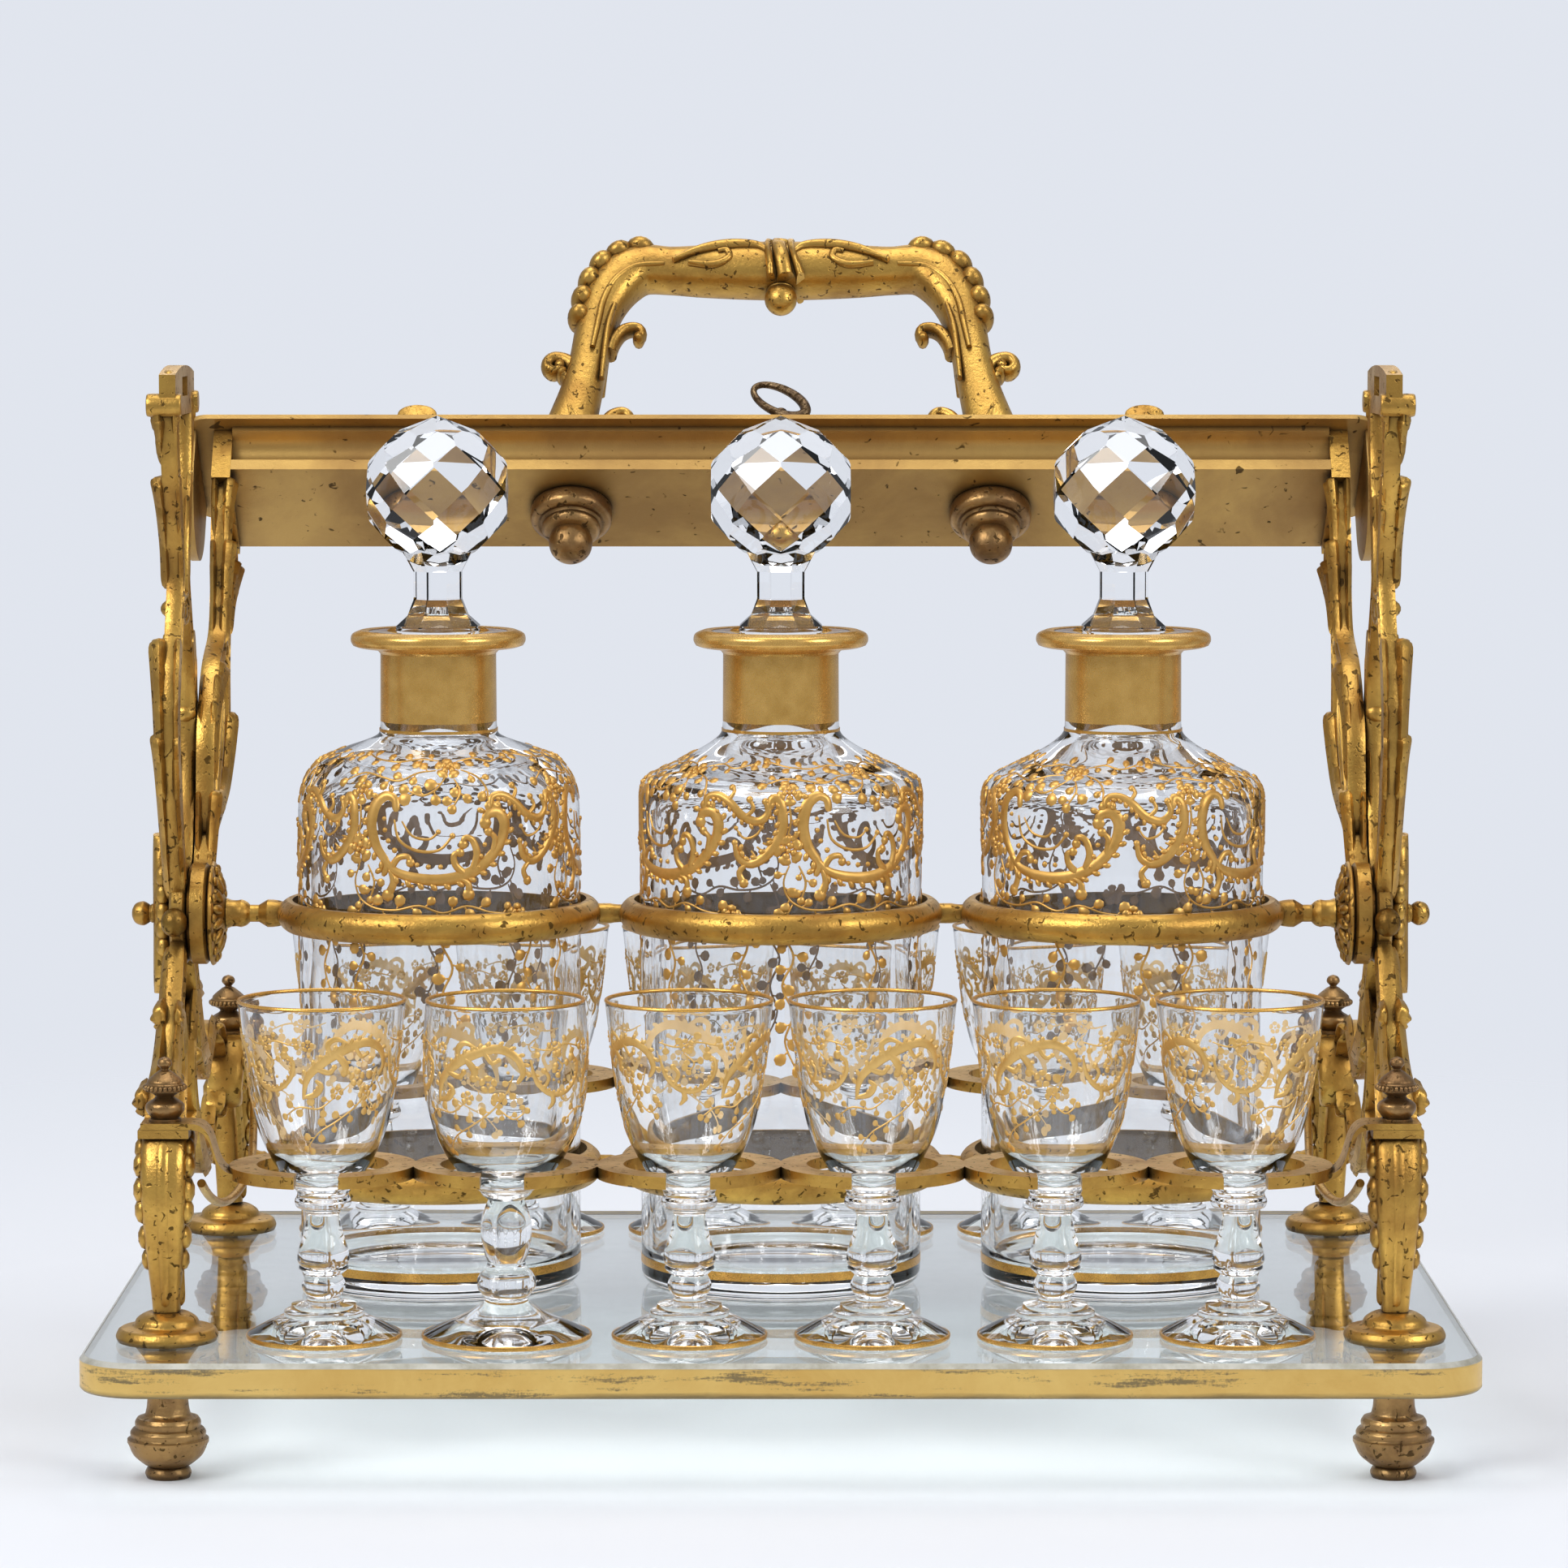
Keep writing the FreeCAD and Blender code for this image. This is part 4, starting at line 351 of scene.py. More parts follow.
def makePiece(name, bm, space, body, materials, replaces=(), sharp=38):
    bm.transform(Matrix.Scale(mm, 4) @ space)
    bmesh.ops.recalc_face_normals(bm, faces=bm.faces[:])
    mesh = bpy.data.meshes.new(name)
    bm.to_mesh(mesh)
    bm.free()
    mesh.shade_smooth()
    mesh.set_sharp_from_angle(angle=math.radians(sharp))
    piece = bpy.data.objects.new(name, mesh)
    bpy.context.scene.collection.objects.link(piece)
    for material in materials if isinstance(materials, (list, tuple)) else [materials]:
        mesh.materials.append(material)
    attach(piece, body)
    if replaces:
        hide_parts(*replaces)


def box(bm, middle, size):
    bmesh.ops.create_cube(bm, size=1, matrix=Matrix.Translation(middle) @ Matrix.Diagonal((*size, 1)))


# Tray of thick plate glass, its edge leafed with gold that has worn and darkened
tray = {"length": 400, "width": 272, "thick": 10, "corner": 19, "bevel": 1.4, "cornerSteps": 12}
# Foot and top: heights in metres past which the leaf turns dark
edgeLook = {"foot": 0.0300, "top": 0.0376, "sharpness": 500, "bright": (0.80, 0.55, 0.17), "dull": (0.66, 0.40, 0.10),
            "dark": (0.10, 0.085, 0.05), "rubbed": (0.27, 0.24, 0.17)}


def edgeFinish(look):
    made = Finish("wornEdgeLeaf")
    long = made.node("ShaderNodeMapping", Vector=made.place, Scale=(26.0, 26.0, 240.0))
    streak = made.node("ShaderNodeTexNoise", output="Fac", Vector=long, Scale=1.0, Detail=7, Roughness=0.7)
    cloud = made.noise(22.0, 6, 0.7, 0.5)
    speck = made.noise(900.0, 3, 0.7)
    worn = made.ramp(streak + (speck - 0.5) * 0.22, (0.555, 0.0), (0.63, 1.0))
    height = made.node("ShaderNodeSeparateXYZ", output="Z", Vector=made.place)
    low = made.ramp((height - look["foot"]) * look["sharpness"] + (streak - 0.5) * 1.5, (0.15, 1.0), (0.85, 0.0))
    top = made.ramp((height - look["top"]) * look["sharpness"] + (streak - 0.5) * 1.6, (0.2, 0.0), (0.9, 1.0))
    colour = made.mix(made.ramp(cloud, (0.35, 0.0), (0.7, 1.0)), look["bright"], look["dull"])
    colour = made.mix(worn.larger(low) * 0.8, colour, look["dark"])
    colour = made.mix(top * 0.75, colour, look["rubbed"])
    made.set(Base_Color=colour, Metallic=0.55 - worn * 0.4, Roughness=0.34 + worn * 0.3,
             Normal=made.bump(streak + speck * 0.3, 0.3, 0.0002))
    return made.material


def edgeBevelFinish():
    made = Finish("palePolishedBevel")
    made.set(Base_Color=made.mix(made.ramp(made.noise(60.0, 5, 0.7), (0.4, 0.0), (0.65, 1.0)),
                                 (0.62, 0.60, 0.52), (0.36, 0.34, 0.26)), Metallic=0.25, Roughness=0.22)
    return made.material


def makeTray(it):
    halfX, halfY, corner, bevel = it["length"] / 2, it["width"] / 2, it["corner"], it["bevel"]

    def loop(inset):
        made = []
        for cx, cy, start in ((1, 1, 0), (-1, 1, 90), (-1, -1, 180), (1, -1, 270)):
            for k in range(it["cornerSteps"] + 1):
                angle = math.radians(start + k * 90 / it["cornerSteps"])
                made.append((cx * (halfX - corner) + math.cos(angle) * (corner - inset),
                             cy * (halfY - corner) + math.sin(angle) * (corner - inset)))
        return made
    bm = bmesh.new()
    levels = [(bevel * 0.45, -it["thick"]), (0, -it["thick"] + bevel * 0.5), (0, -bevel), (bevel, 0)]
    rings = [[bm.verts.new((x, y, z)) for x, y in loop(inset)] for inset, z in levels]
    count = len(rings[0])
    for n, (low, high) in enumerate(zip(rings, rings[1:])):
        for k in range(count):
            face = bm.faces.new((low[k], low[(k + 1) % count], high[(k + 1) % count], high[k]))
            face.material_index = 1 if n < 2 else 2
    bm.faces.new(rings[0][::-1])
    bm.faces.new(rings[-1])
    makePiece("plateGlassTray", bm, standSpace, "stand", [plateGlass, edgeFinish(edgeLook), edgeBevelFinish()],
              ["base_plate"], 25)


makeTray(tray)
print("stage: tray")

# Turned feet, flanges and finials: (radius, height) above the tray's top
foot = {"profile": [(0, -40), (6.2, -40), [(6.2, -40), (6.7, -38.6), (6.2, -37.2)], (5.6, -36.6), [(6.9, -36),
        (9.9, -33.4), (11.4, -30.2)], (11.75, -29.6), (11.75, -28.6), (11, -28.2), [(10.8, -27.9), (10.9, -26.6),
        (10.2, -25.6)], (9.4, -25.2), [(9.4, -25), (9.5, -23.6), (8.8, -22.4)], (7, -21.8), [(6.5, -21.2),
        (6, -18.5), (6.2, -14.5), (9.2, -10.05)], (0, -10.05)], "steps": 96}
flange = {"profile": [(0, 0.03), (14.2, 0.03), [(14.2, 0.03), (14.75, 1.6), (14, 3.4)], [(13.2, 3.9), (11.6, 4.1),
          (10.2, 4.4)], (9.7, 4.6), [(9.4, 4.9), (8.6, 6.6), (6, 8.2), (3, 8.6)], (0, 8.6)], "steps": 96}
finial = {"profile": [(0, 63.8), (4.6, 63.8), (4.6, 64.6), [(4, 64.8), (5.5, 67), (5.3, 68.9), (3.2, 70.3)],
          (2.7, 70.9), [(2.9, 71.3), (4.4, 72.2), (5.6, 72.6)], (5.6, 74.6), [(5.2, 74.9), (5, 75.6), (4, 76.6),
          (2, 78.2)], [(1.2, 78.6), (1.1, 78.9), (2.1, 80.2), (1.6, 81.7), (0, 82.4)]],
          "steps": 48, "beads": 26, "beadPlace": 5.65, "beadSize": 0.72, "beadHeight": 73.6}


def makeTurnings():
    for name, it, finish, slot, node in (("turnedBunFeet", foot, bronze, "bronze_turnings", "bun_feet"),
                                         ("domedLegFlanges", flange, gold, "gilt_brass", "leg_flanges"),
                                         ("beadedLegFinials", finial, bronze, "bronze_turnings", "leg_finials")):
        bm = bmesh.new()
        for x, y in legPlaces:
            lathe(bm, profile(it["profile"]), (x, y, 0), it["steps"])
            for k in range(it.get("beads", 0)):
                angle = 2 * math.pi * k / it["beads"]
                blob(bm, (x + math.cos(angle) * it["beadPlace"], y + math.sin(angle) * it["beadPlace"],
                          it["beadHeight"]), (it["beadSize"], it["beadSize"], it["beadSize"] * 1.15), segments=8)
        makePiece(name, bm, standSpace, "stand", finish, [node])


makeTurnings()
print("stage: turnings")

# Decanters: one profile for the outside and one for the inside of each
neckProfile = [[(17.7, 169), (17.5, 172)], (17.5, 172), (17.4, 192), [(17.4, 192), (19, 193.4),
               (23.5, 193.9), (25.6, 194.6)], [(25.6, 194.6), (26.3, 196), (25.8, 197.9), (23.5, 199)],
               [(23.5, 199), (18, 198.4), (13.4, 197.6)], [(13.4, 197.6), (12.4, 193), (10.7, 179.4)]]
decanters = {
    "left": {"x": -103.5, "turn": 2, "shoulder": [(42.5, 140), (42.4, 147), (40.6, 154.5), (36.5, 159.6),
             (30, 163), (22.5, 165.6), (18.6, 167.4), (17.7, 169)],
             "innerShoulder": [(10.7, 179.4), (12, 170), (16, 163.5), (26, 159.5), (33.5, 155), (37.4, 149),
                               (38.6, 140)]},
    "centre": {"x": 0, "turn": 27, "shoulder": [(42.5, 146), (42.4, 150.6), (41, 154.2), (37, 156.8),
               (30, 160.2), (23, 164), (19, 166.9), (17.7, 169)],
               "innerShoulder": [(10.7, 179.4), (12, 170), (16, 162), (26, 156.5), (34, 153), (37.6, 149.5),
                                 (38.6, 144)]},
    "right": {"x": 103.5, "turn": -24, "shoulder": [(42.5, 144), (42.4, 149.4), (40.8, 153.6), (37, 156.4),
              (30, 159.8), (23, 163.8), (19, 166.9), (17.7, 169)],
              "innerShoulder": [(10.7, 179.4), (12, 170), (16, 162), (26, 156), (34, 152.4), (37.6, 148.6),
                                (38.6, 143)]},
}
decanterFoot = [(0, 0.6), (34, 0.6), [(34, 0.6), (37.6, 0.15), (40.4, 0.9), (42.2, 3.2), (42.5, 6.5)]]
decanterFloor = [(38.6, 14), [(38.6, 14), (38, 9.8), (34, 7.2), (24, 6.6)], (0, 6.4)]


# Where gilding lies on a turned surface: (round it, up it) in millimetres, drawn for one girth
class Skin:
    def __init__(self, outline, girth):
        self.girth, self.rows = girth, []
        way = outline[0][1]
        for n, point in enumerate(outline):
            way += math.dist(outline[n - 1], point) if n else 0
            self.rows.append((way, *point))

    def at(self, u, v, lift):
        n = 1
        while n < len(self.rows) - 1 and self.rows[n][0] < v:
            n += 1
        (way, r, z), (wayOn, rOn, zOn) = self.rows[n - 1], self.rows[n]
        t, run = (v - way) / (wayOn - way), wayOn - way
        r, z = r + (rOn - r) * t + (zOn - z) / run * lift, z + (zOn - z) * t - (rOn - r) / run * lift
        return r * math.sin(u / self.girth), -r * math.cos(u / self.girth), z


# Lays raised strokes, dots and petals on a skin; their undersides take the second material
class Gilder:
    def __init__(self, bm, skin, lift, seed):
        self.bm, self.skin, self.lift, self.shift = bm, skin, lift, 0.0
        self.chance = random.Random(seed)

    def point(self, u, v, lift):
        return self.bm.verts.new(self.skin.at(u + self.shift, v, lift))

    def stroke(self, points, half, shares, steps=4, bulb=0.0):
        smooth = spline(points, steps)
        last = len(smooth) - 1
        rows = []
        for k, (place, w) in enumerate(zip(smooth, widths(shares, last + 1, half))):
            back, on = smooth[max(k - 1, 0)], smooth[min(k + 1, last)]
            run = math.dist(back, on) or 1.0
            rows.append((*place, (on[0] - back[0]) / run, (on[1] - back[1]) / run, w))
        u, v, du, dv, w = rows[0]
        rows.insert(0, (u - du * w * 0.8, v - dv * w * 0.8, du, dv, w * 0.5))
        u, v, du, dv, w = rows[-1]
        rows.append((u + du * w * 0.8, v + dv * w * 0.8, du, dv, w * 0.5))
        rings = []
        for u, v, du, dv, w in rows:
            top = min(self.lift, w * 0.75)
            rings.append([self.point(u - dv * w * o, v + du * w * o, rise if rise < 0 else rise * top)
                          for o, rise in ((1, -0.06), (0.62, 0.75), (0, 1.0), (-0.62, 0.75), (-1, -0.06))])
        for low, high in zip(rings, rings[1:]):
            for k in range(4):
                self.bm.faces.new((low[k], low[k + 1], high[k + 1], high[k]))
            self.bm.faces.new((low[4], low[0], high[0], high[4])).material_index = 1
        self.bm.faces.new(rings[0][::-1])
        self.bm.faces.new(rings[-1])
        if bulb:
            self.dot(*points[-1], bulb)

    # Short leaves that spring from a scroll's edge and lean along it
    def comb(self, points, half, side):
        smooth = spline(points, 6)
        way = 0.0
        for back, on in zip(smooth[2:-4], smooth[3:-3]):
            way += math.dist(back, on)
            if way < half * 1.9:
                continue
            way = 0.0
            heading = math.atan2(on[1] - back[1], on[0] - back[0])
            out = heading + side * math.pi / 2
            foot = (on[0] + math.cos(out) * half * 0.55, on[1] + math.sin(out) * half * 0.55)
            self.petal(*foot, heading + side * 0.75, half * 1.9, half * 0.55, 1.1)

    # A closed patch with a raised middle
    def patch(self, middle, corners, lift):
        rim = [self.point(*corner, -0.06) for corner in corners]
        inner = [self.point(middle[0] + (c[0] - middle[0]) * 0.7, middle[1] + (c[1] - middle[1]) * 0.7, lift * 0.8)
                 for c in corners]
        centre = self.point(*middle, lift)
        for k in range(len(rim)):
            after = (k + 1) % len(rim)
            self.bm.faces.new((rim[k], rim[after], inner[after], inner[k]))
            self.bm.faces.new((inner[k], inner[after], centre))
        self.bm.faces.new(rim[::-1]).material_index = 1

    def dot(self, u, v, r, liftShare=1.15):
        self.patch((u, v), [(u + r * math.cos(k * math.pi / 4), v + r * math.sin(k * math.pi / 4)) for k in range(8)],
                   self.lift * liftShare)

    def petal(self, u, v, heading, length, half, liftShare=0.8):
        c, s = math.cos(heading), math.sin(heading)
        outline = ((0, 0), (0.2, 0.62), (0.5, 1), (0.83, 0.8), (1, 0), (0.83, -0.8), (0.5, -1), (0.2, -0.62))
        self.patch((u + c * length * 0.55, v + s * length * 0.55),
                   [(u + c * x * length - s * y * half, v + s * x * length + c * y * half) for x, y in outline],
                   self.lift * liftShare)

    # Two rings of petals round a bud, or one ring for a simple flower
    def flower(self, u, v, r, turn, rose, petals=5, inner=4):
        for k in range(petals):
            angle = turn + 2 * math.pi * k / petals
            self.petal(u + r * 0.3 * math.cos(angle), v + r * 0.3 * math.sin(angle), angle, r * 0.7, r * 0.44)
        if rose:
            for k in range(inner):
                angle = turn + 0.6 + 2 * math.pi * k / inner
                self.petal(u + r * 0.1 * math.cos(angle), v + r * 0.1 * math.sin(angle), angle,
                           r * 0.48, r * 0.27, 1.25)
        self.dot(u, v, r * 0.19, 1.6)

    def vine(self, points, gap, leaf, half):
        self.stroke(points, half, (0.7, 1.0, 1.0, 0.8), 5)
        smooth = spline(points, 8)
        way, side = gap * 0.5, 1
        for back, on in zip(smooth, smooth[1:]):
            way += math.dist(back, on)
            if way < gap:
                continue
            way, side = 0.0, -side
            heading = math.atan2(on[1] - back[1], on[0] - back[0]) + side * (0.85 + 0.3 * self.chance.random())
            grow = 0.8 + 0.4 * self.chance.random()
            foot = (on[0] + math.cos(heading) * 0.9, on[1] + math.sin(heading) * 0.9)
            self.stroke([on, foot], half * 0.8, (1.0, 1.0), 2)
            self.petal(*foot, heading, leaf[0] * grow, leaf[1] * grow, 0.6)
        back, on = smooth[-2:]
        self.petal(*on, math.atan2(on[1] - back[1], on[0] - back[0]), leaf[0], leaf[1])


# One repeat of the decanters' pattern: scrolls (points, half width, width shares, bulb), roses and vines
decanterPattern = {
    "repeats": 4, "girth": 42.5, "lift": 0.6, "vineHalf": 0.36, "grow": 1.3, "combFrom": 0.9, "combSide": -1,
    "scrolls": [
        ([(-12.6, 148.6), (-13.2, 151.4), (-16, 152.4), (-19.2, 149.6), (-20.4, 143.5), (-18.8, 137.2),
          (-15.6, 132.4), (-16.4, 129.2)], 1.25, (0.7, 0.8, 1, 1.1, 1, 0.8, 0.6), 0),
        ([(-16.2, 133.4), (-12.5, 129.8), (-6, 127.9), (1.5, 127.5), (8.5, 129), (14.6, 132.6), (19.2, 138.2),
          (20.6, 143.8), (18.6, 147.2), (15.2, 146.8), (14.4, 144.2)], 1.25, (0.6, 0.9, 1.1, 1.1, 1, 1.1, 1, 0.8),
          1.5),
        ([(-13.8, 131.4), (-11.8, 134), (-9, 134.4), (-8.2, 132.6)], 0.75, (1.1, 1, 0.9, 0.8), 1.1),
        ([(7.4, 129.6), (5.2, 132), (4.8, 134.9), (6.6, 135.6)], 0.8, (1.2, 1, 0.9, 0.8), 1.1),
        ([(10.6, 130.6), (11.8, 135), (10.4, 139.2), (8, 140), (7.6, 138)], 0.8, (1.2, 1.1, 1, 0.8, 0.8), 1.15),
        ([(16.8, 135.4), (17.4, 139.6), (15.4, 141.6)], 0.7, (1.1, 1, 0.8), 1.1),
        ([(-14.6, 130.2), (-13.4, 126.6), (-15.2, 122.8)], 0.8, (0.6, 1.1, 1.2), 1.5),
        ([(5.6, 128.2), (9, 126.4), (9.2, 123)], 0.75, (0.6, 1, 1.2), 1.5),
        ([(-13, 145.2), (-11.6, 139.4), (-6.2, 136.2), (0.4, 136.4), (4.4, 140.6)], 0.34, (0.7, 1, 1.1, 1, 0.9),
         0.75),
        ([(-10.6, 144.8), (-7.6, 140.6), (-2.6, 139.6), (0.2, 141.8)], 0.3, (0.7, 1, 1, 0.9), 0.65),
        ([(16.2, 149.4), (17, 151.9), (20.4, 152.4), (24.4, 150.2), (28.2, 146.4), (33, 144.8), (36, 147.4),
          (35.2, 150.8)], 0.95, (0.7, 0.9, 1, 1.1, 1.1, 0.9, 0.6), 0.9),
        ([(23.6, 150.6), (25.4, 153.6), (24.4, 155.2)], 0.5, (1, 1, 0.8), 0.9),
        ([(29, 146), (31.6, 148.6), (30.4, 151.4)], 0.5, (1, 1, 0.8), 0.85),
        ([(36.6, 149.2), (37.4, 151.8), (39.6, 150.2), (40.2, 142.4), (36.2, 135.6), (31, 132.2), (27, 134),
          (25.8, 138.4)], 1.1, (0.8, 1, 1.1, 1.1, 1, 0.8, 0.5), 0.8),
        ([(35.6, 146.2), (32.8, 141.2), (28.8, 139.8), (26.2, 142.8)], 0.3, (0.7, 1, 1, 0.8), 0.6),
        ([(38.6, 139.4), (35.8, 139.8)], 0.26, (1, 1), 0), ([(37.4, 137.2), (34.6, 138.4)], 0.26, (1, 1), 0),
        ([(35.4, 135.2), (32.8, 137.2)], 0.26, (1, 1), 0), ([(32.8, 133.4), (31, 136)], 0.26, (1, 1), 0),
        ([(30, 132.6), (27.2, 129.6), (28.6, 126.4)], 0.7, (0.7, 1, 1.1), 1.2)],
    "dots": [(-16.2, 145.6, 0.55), (-16, 142.2, 0.6), (-15, 139, 0.65), (-13, 136.2, 0.7), (-6.2, 132, 0.62),
             (-2.8, 131.4, 0.66), (0.8, 131.4, 0.62), (14.2, 137.8, 0.6), (13, 134.4, 0.62), (12.2, 131.2, 0.6),
             (18.4, 149, 0.5), (20.4, 147.6, 0.45), (-10.5, 126.2, 0.45), (-7.6, 125.6, 0.4), (2.6, 125.4, 0.4),
             (-22.6, 144, 0.55), (-22.4, 141.4, 0.6)],
    "roses": [(3.6, 162.6, 4.9, 0.3), (-24.4, 153.4, 4.1, 1), (-24.8, 136.2, 4.7, 0.6), (24.6, 116.6, 3.4, 0.2)],
    "vines": [([(-0.8, 161.2), (-6.6, 160.2), (-12.4, 157.2), (-18.6, 158.4), (-25.6, 159.8), (-31.2, 157)], 4,
               (2.9, 1.05)),
              ([(0.4, 166.2), (-7, 167.2), (-15, 165.4), (-24, 166.6), (-31.5, 169.4)], 3.9, (2.9, 1.05)),
              ([(7.4, 165.8), (14, 167.6), (20.6, 165.4), (27.6, 168)], 3.9, (2.8, 1)),
              ([(8.2, 161.4), (12.8, 158.8), (15.4, 154.6), (15.6, 151)], 3.6, (2.5, 0.9)),
              ([(2.2, 158), (-0.6, 154.4), (-4.6, 152.6), (-8.6, 153.8)], 3, (2.9, 1.15)),
              ([(5.4, 157.8), (7, 153.8), (5.2, 150)], 2.8, (2.6, 1)),
              ([(-24.4, 149.4), (-24, 145), (-24.8, 141)], 1.9, (1.7, 0.7)),
              ([(-24.6, 131.6), (-26.2, 126.6), (-24.4, 121.6), (-19.4, 118.8), (-12.6, 118.4), (-5.6, 119.8),
                (1.4, 117.6), (8.6, 119.6), (15.6, 117.6), (21.2, 117)], 3.7, (2.7, 1)),
              ([(-23.6, 120), (-26.4, 112.4), (-23.2, 104.2), (-26.6, 96), (-23.4, 87.6), (-25.8, 79.4), (-23, 72)],
               4, (3, 1.1)),
              ([(3.6, 117.6), (0.8, 109.4), (4.2, 101.2), (1.2, 93), (4.4, 85)], 4.2, (2.9, 1.05)),
              ([(27, 115), (29.8, 108), (27.2, 100), (30.4, 92.6)], 4, (2.8, 1)),
              ([(-21.6, 131.6), (-19.6, 126.8), (-20.6, 122.6)], 2.6, (2.1, 0.85))],
}


def layPattern(gilder, it, turn, rose):
    grow = it["grow"]
    for repeat in range(it["repeats"]):
        gilder.shift = turn + 2 * math.pi * it["girth"] * repeat / it["repeats"]
        for points, half, shares, bulb in it["scrolls"]:
            gilder.stroke(points, half * grow, shares, bulb=bulb * grow)
            if half > it["combFrom"]:
                gilder.comb(points, half * grow, it["combSide"])
        for u, v, r in it["dots"]:
            gilder.dot(u, v, r * grow)
        for u, v, r, lean in it["roses"]:
            gilder.flower(u, v, r, lean, rose)
        for points, gap, leaf in it["vines"]:
            gilder.vine(points, gap, (leaf[0] * grow, leaf[1] * grow * 1.15), it["vineHalf"])


# Gilt neck and lip, a skin of gold just outside the glass, and the two lines: (low, high, radius)
giltNeck = [(17.56, 171.6), (17.46, 192), [(17.46, 192), (19.06, 193.3), (23.5, 193.82), (25.7, 194.5)],
            [(25.7, 194.5), (26.4, 196), (25.9, 197.95), (23.5, 199.08)], [(23.5, 199.08), (21, 198.85)]]
giltLines = [(168.6, 169.5, 17.85), (7, 9.6, 42.53)]


def makeDecanters():
    for number, (name, it) in enumerate(decanters.items()):
        body, middle = name + "_decanter", (it["x"], 0, seat)
        bm = bmesh.new()
        outside = profile([*decanterFoot, it["shoulder"], *neckProfile, it["innerShoulder"], *decanterFloor], 8)
        lathe(bm, outside, middle)
        makePiece(name + "CrystalDecanter", bm, standSpace, body, crystal, [body], 50)
        bm = bmesh.new()
        lathe(bm, profile(giltNeck), middle)
        makePiece(name + "GiltNeck", bm, standSpace, body, neckGold)
        bm = bmesh.new()
        for low, high, r in giltLines:
            lathe(bm, [(r, low), (r + 0.06, low), (r + 0.06, high), (r, high), (r, low)], middle)
        makePiece(name + "GiltLines", bm, standSpace, body, rimGold)
        bm = bmesh.new()
        skin = Skin([(42.5, 8.0)] + profile([it["shoulder"]], 8), decanterPattern["girth"])
        layPattern(Gilder(bm, skin, decanterPattern["lift"], number), decanterPattern, it["turn"], True)
        makePiece(name + "RaisedGilding", bm, standSpace @ Matrix.Translation(middle), body, [gilding, gildingBack],
                  sharp=60)


makeDecanters()
print("stage: decanters")

# Stemmed glasses: the second in front is of another pattern, with an egg-shaped bowl. Bowl: its outline's place in
# the profile; lip and foot: radii of the gilt rims
glassShapes = {
    "usual": {"bowl": 16, "lip": 23.88, "foot": 22.2, "profile": [
              (0, 0.9), (8, 0.7), [(8, 0.7), (16, 0.25), (21, 0.05)], [(21, 0.05), (22.3, 0.6), (22.2, 1.6)],
              [(22.2, 1.6), (17.5, 4.2), (12.6, 6.6)], (11.5, 7), (11.5, 8.2), [(10.6, 8.7), (9.6, 9)], (9.3, 10.2),
              [(9.3, 10.2), (6, 10.8), (4.8, 11.4), (4.9, 12.4)],
              [(4.9, 12.4), (6.1, 14.4), (6.3, 16.2), (5.1, 18.6)],
              [(5.1, 18.6), (6.9, 20.2), (7.2, 20.8)], (6.9, 21.5), [(7.3, 22.2), (7.6, 23.6), (6.9, 27), (5.5, 31.5),
              (4.8, 35.2)], [(4.6, 36.2), (5.6, 37.4), (7.6, 38.4)], [(8, 39), (8.2, 40.3), (7.6, 41.6)],
              [(7.4, 42.6), (8.6, 44.4), (12, 48.2), (16, 55.2), (18.9, 62.6), (20.9, 72), (22.6, 84),
              (24.2, 98.2)], [(24.2, 98.2), (24, 98.75), (23.5, 98.6)], [(23.5, 98.6), (21.9, 84), (19.9, 72),
              (17.4, 62.6), (13.6, 54.4), (8, 49), (0, 47.2)]]},
    "egg": {"bowl": 10, "lip": 22.55, "foot": 24.25, "profile": [
            (0, 0.9), (8, 0.7), [(8, 0.7), (16, 0.25), (23.2, 0.05)], [(23.2, 0.05), (24.4, 0.6), (24.2, 1.6)],
            [(24.2, 1.6), (19, 4), (12.5, 6.9), (7.5, 10)], [(7.5, 10), (6.2, 11.4), (6.9, 12.8)],
            [(6.9, 12.8), (8.3, 14.6), (8.5, 17.2), (7.2, 19.6)], [(7.2, 19.6), (6, 20.6), (5.4, 22.4)],
            [(5.4, 22.4), (6.4, 25), (7.2, 29), (7.3, 34), (6, 38.5), (5.2, 40.6)], [(5.2, 40.6), (6.8, 41.8),
            (7.6, 43)], [(7.6, 43), (11, 45.8), (15.6, 51), (19.8, 58.5), (22.6, 68), (23.6, 78),
            (23.6, 88), (22.9, 98.2)], [(22.9, 98.2), (22.6, 98.75), (22.1, 98.6)], [(22.1, 98.6), (22.7, 88),
            (22.6, 78), (21.5, 68), (18.5, 58.8), (13.6, 51.8), (7, 47.9), (0, 47)]]},
}
# Gilt rims: which radius, height, half width, half height, corners of the section
giltRims = [("lip", 98.35, 0.55, 0.55, 10), ("foot", 1.05, 0.4, 0.7, 8)]
